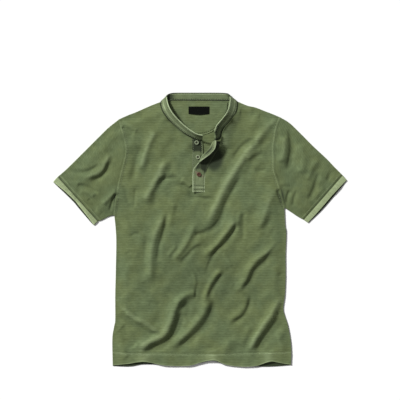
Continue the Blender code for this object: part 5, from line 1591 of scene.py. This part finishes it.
def turned_button(name, node, face, streaks, rim, rim_start):
    """Resin turned like horn: streaked across, with a paler rim painted on as a reflection."""
    low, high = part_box(node)
    centre = (low + high) / 2
    made, shader = new_material(name, 0.35, IOR=1.5)
    place = add_node(made, "ShaderNodeTexCoord")
    # Streaks of horn are about 2.5 mm wide and a centimetre long, so each button shows two or three.
    long_grain = add_node(made, "ShaderNodeMapping", {
        "Vector": (place, "Object"), "Rotation": (0.0, 0.0, 0.5), "Scale": (90.0, 420.0, 200.0)})
    streak = add_node(made, "ShaderNodeTexNoise", {
        "Vector": (long_grain, "Vector"), "Scale": 1.0, "Detail": 4.0, "Distortion": 0.8})
    streak_share = add_node(made, "ShaderNodeMapRange", {
        "Value": (streak, "Fac"), "From Min": 0.35, "From Max": 0.65}, **SOFT_STEP)
    body = add_node(made, "ShaderNodeMix", {
        FACTOR: (streak_share, "Result"), LEFT: linear(face), RIGHT: linear(streaks)}, **COLOURS)
    centred = add_node(made, "ShaderNodeMapping", {
        "Vector": (place, "Object"), "Location": (-centre.x, -centre.y, 0.0), "Scale": (1.0, 1.0, 0.0)})
    radius = add_node(made, "ShaderNodeVectorMath", {0: (centred, "Vector")}, operation="LENGTH")
    # The paler rim is a painted reflection.
    rim_reflection = add_node(made, "ShaderNodeMapRange", {
        "Value": (radius, "Value"), "From Min": rim_start, "From Max": rim_start + RIM_FADE,
        "To Max": 0.9}, **SOFT_STEP)
    rimmed = add_node(made, "ShaderNodeMix", {
        FACTOR: (rim_reflection, "Result"), LEFT: (body, RESULT), RIGHT: linear(rim)}, **COLOURS)
    connect(made, rimmed, RESULT, shader, "Base Color")
    polish = add_node(made, "ShaderNodeMapRange", {
        "Value": (streak, "Fac"), "From Min": 0.3, "From Max": 0.7, "To Min": 0.28,
        "To Max": 0.5}, **SOFT_STEP)
    connect(made, polish, "Result", shader, "Roughness")
    dress(made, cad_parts[node])


# One kind of button: the two upper ones, in the stand's shade, get darker, greyer faces as painted shade, and
# each paler rim is a painted reflection.
for button, face, streaks, rim, rim_start in (
        ("collar", "#2a2b21", "#3c3e2e", "#929e7f", 0.0026),
        ("middle", "#333327", "#4d4c39", "#9aa685", 0.0026),
        ("lower", "#3a231b", "#5d3d31", "#6b4538", 0.0040)):
    material_name = f"turned horn resin of the {button} button"
    turned_button(material_name, f"button_{button}", face, streaks, rim, rim_start)


# %% Mercerised thread
def spun(name, colour, shadow):
    """Mercerised sewing cotton: twisted, and a little glossier than the cloth."""
    made, shader = new_material(name, 0.6, Sheen_Weight=0.1)
    place = add_node(made, "ShaderNodeTexCoord")
    # The twist is about 0.3 mm and is drawn 0.8 mm long.
    twist = add_node(made, "ShaderNodeTexWave", {
        "Vector": (place, "Object"), "Scale": WAVE_LENGTH / 0.0008,
        "Distortion": 1.0}, bands_direction="DIAGONAL")
    twisted = add_node(made, "ShaderNodeMix", {
        FACTOR: (twist, "Fac"), LEFT: linear(shadow), RIGHT: linear(colour)}, **COLOURS)
    connect(made, twisted, RESULT, shader, "Base Color")
    bump = add_node(made, "ShaderNodeBump", {"Height": (twist, "Fac"), "Strength": 0.4, "Distance": 0.0001})
    connect(made, bump, "Normal", shader, "Normal")
    return made


dress(spun("mercerised thread in green", "#9dab83", "#748260"), hem_stitches, armhole_stitches, cuff_stitches,
      stand_stitches, placket_stitches, foot_stitches, open_buttonholes)
dress(spun("mercerised thread in dark green", "#333e28", "#22291c"), box_stitches, patch_stitches)
dress(spun("mercerised thread in rose brown", "#a58c7c", "#7e6558"), lower_buttonhole)

# %% White paper
paper, paper_shader = new_material("matt white paper", 0.95)
place = add_node(paper, "ShaderNodeTexCoord")
fibre = add_node(paper, "ShaderNodeTexNoise", {"Vector": (place, "Object"), "Scale": 30.0, "Detail": 4.0})
white = add_node(paper, "ShaderNodeMix", {
    FACTOR: (fibre, "Fac"), LEFT: linear("#fcfcfb"), RIGHT: linear("#ffffff")}, **COLOURS)
connect(paper, white, RESULT, paper_shader, "Base Color")
dress(paper, table)

# %% [markdown]
# ## Cloth pieces and their cut
# Each piece was flat cloth before it was sewn. Its cut could be flattened out of its mesh by unwrapping,
# but a few sizes say as much: how far it reaches along and across, all round where it is a tube, and its
# area, which is less than their product because the pieces are shaped. A sheet with a wall has every part
# of its cloth on two faces, so half of its surface should come close to the area of its cut.
SHEETS = (
    (front, (0.53, 0.76), 0.345, ("back_panel",)),
    (back, (0.53, 0.76), 0.36, ("table",)),
    (right_sleeve, (0.54, 0.20), 0.062, ("table",)),
    (left_sleeve, (0.52, 0.21), 0.066, ("table",)),
    (right_cuff, (0.34, 0.02), 0.0062, ("table",)),
    (left_cuff, (0.34, 0.02), 0.0062, ("table",)),
    (stand, (0.60, 0.026), 0.0150, ("back_panel", "front_panel")),
    (under_placket, (0.15, 0.03), 0.0042, ("back_panel",)),
    (over_placket, (0.20, 0.04), 0.0066, ("placket_under",)),
    (half_moon, (0.16, 0.091), 0.0112, ("back_panel",)),
    (label, (0.058, 0.024), 0.00125, ("half_moon",)),
)
for thing, flat, area, under in SHEETS:
    surface = sum(face.area for face in thing.data.polygons)
    print(thing.name, "half surface", round(surface / 2, 5), "cut", area)
    list(under)
print(len(SHEETS), "sheets")
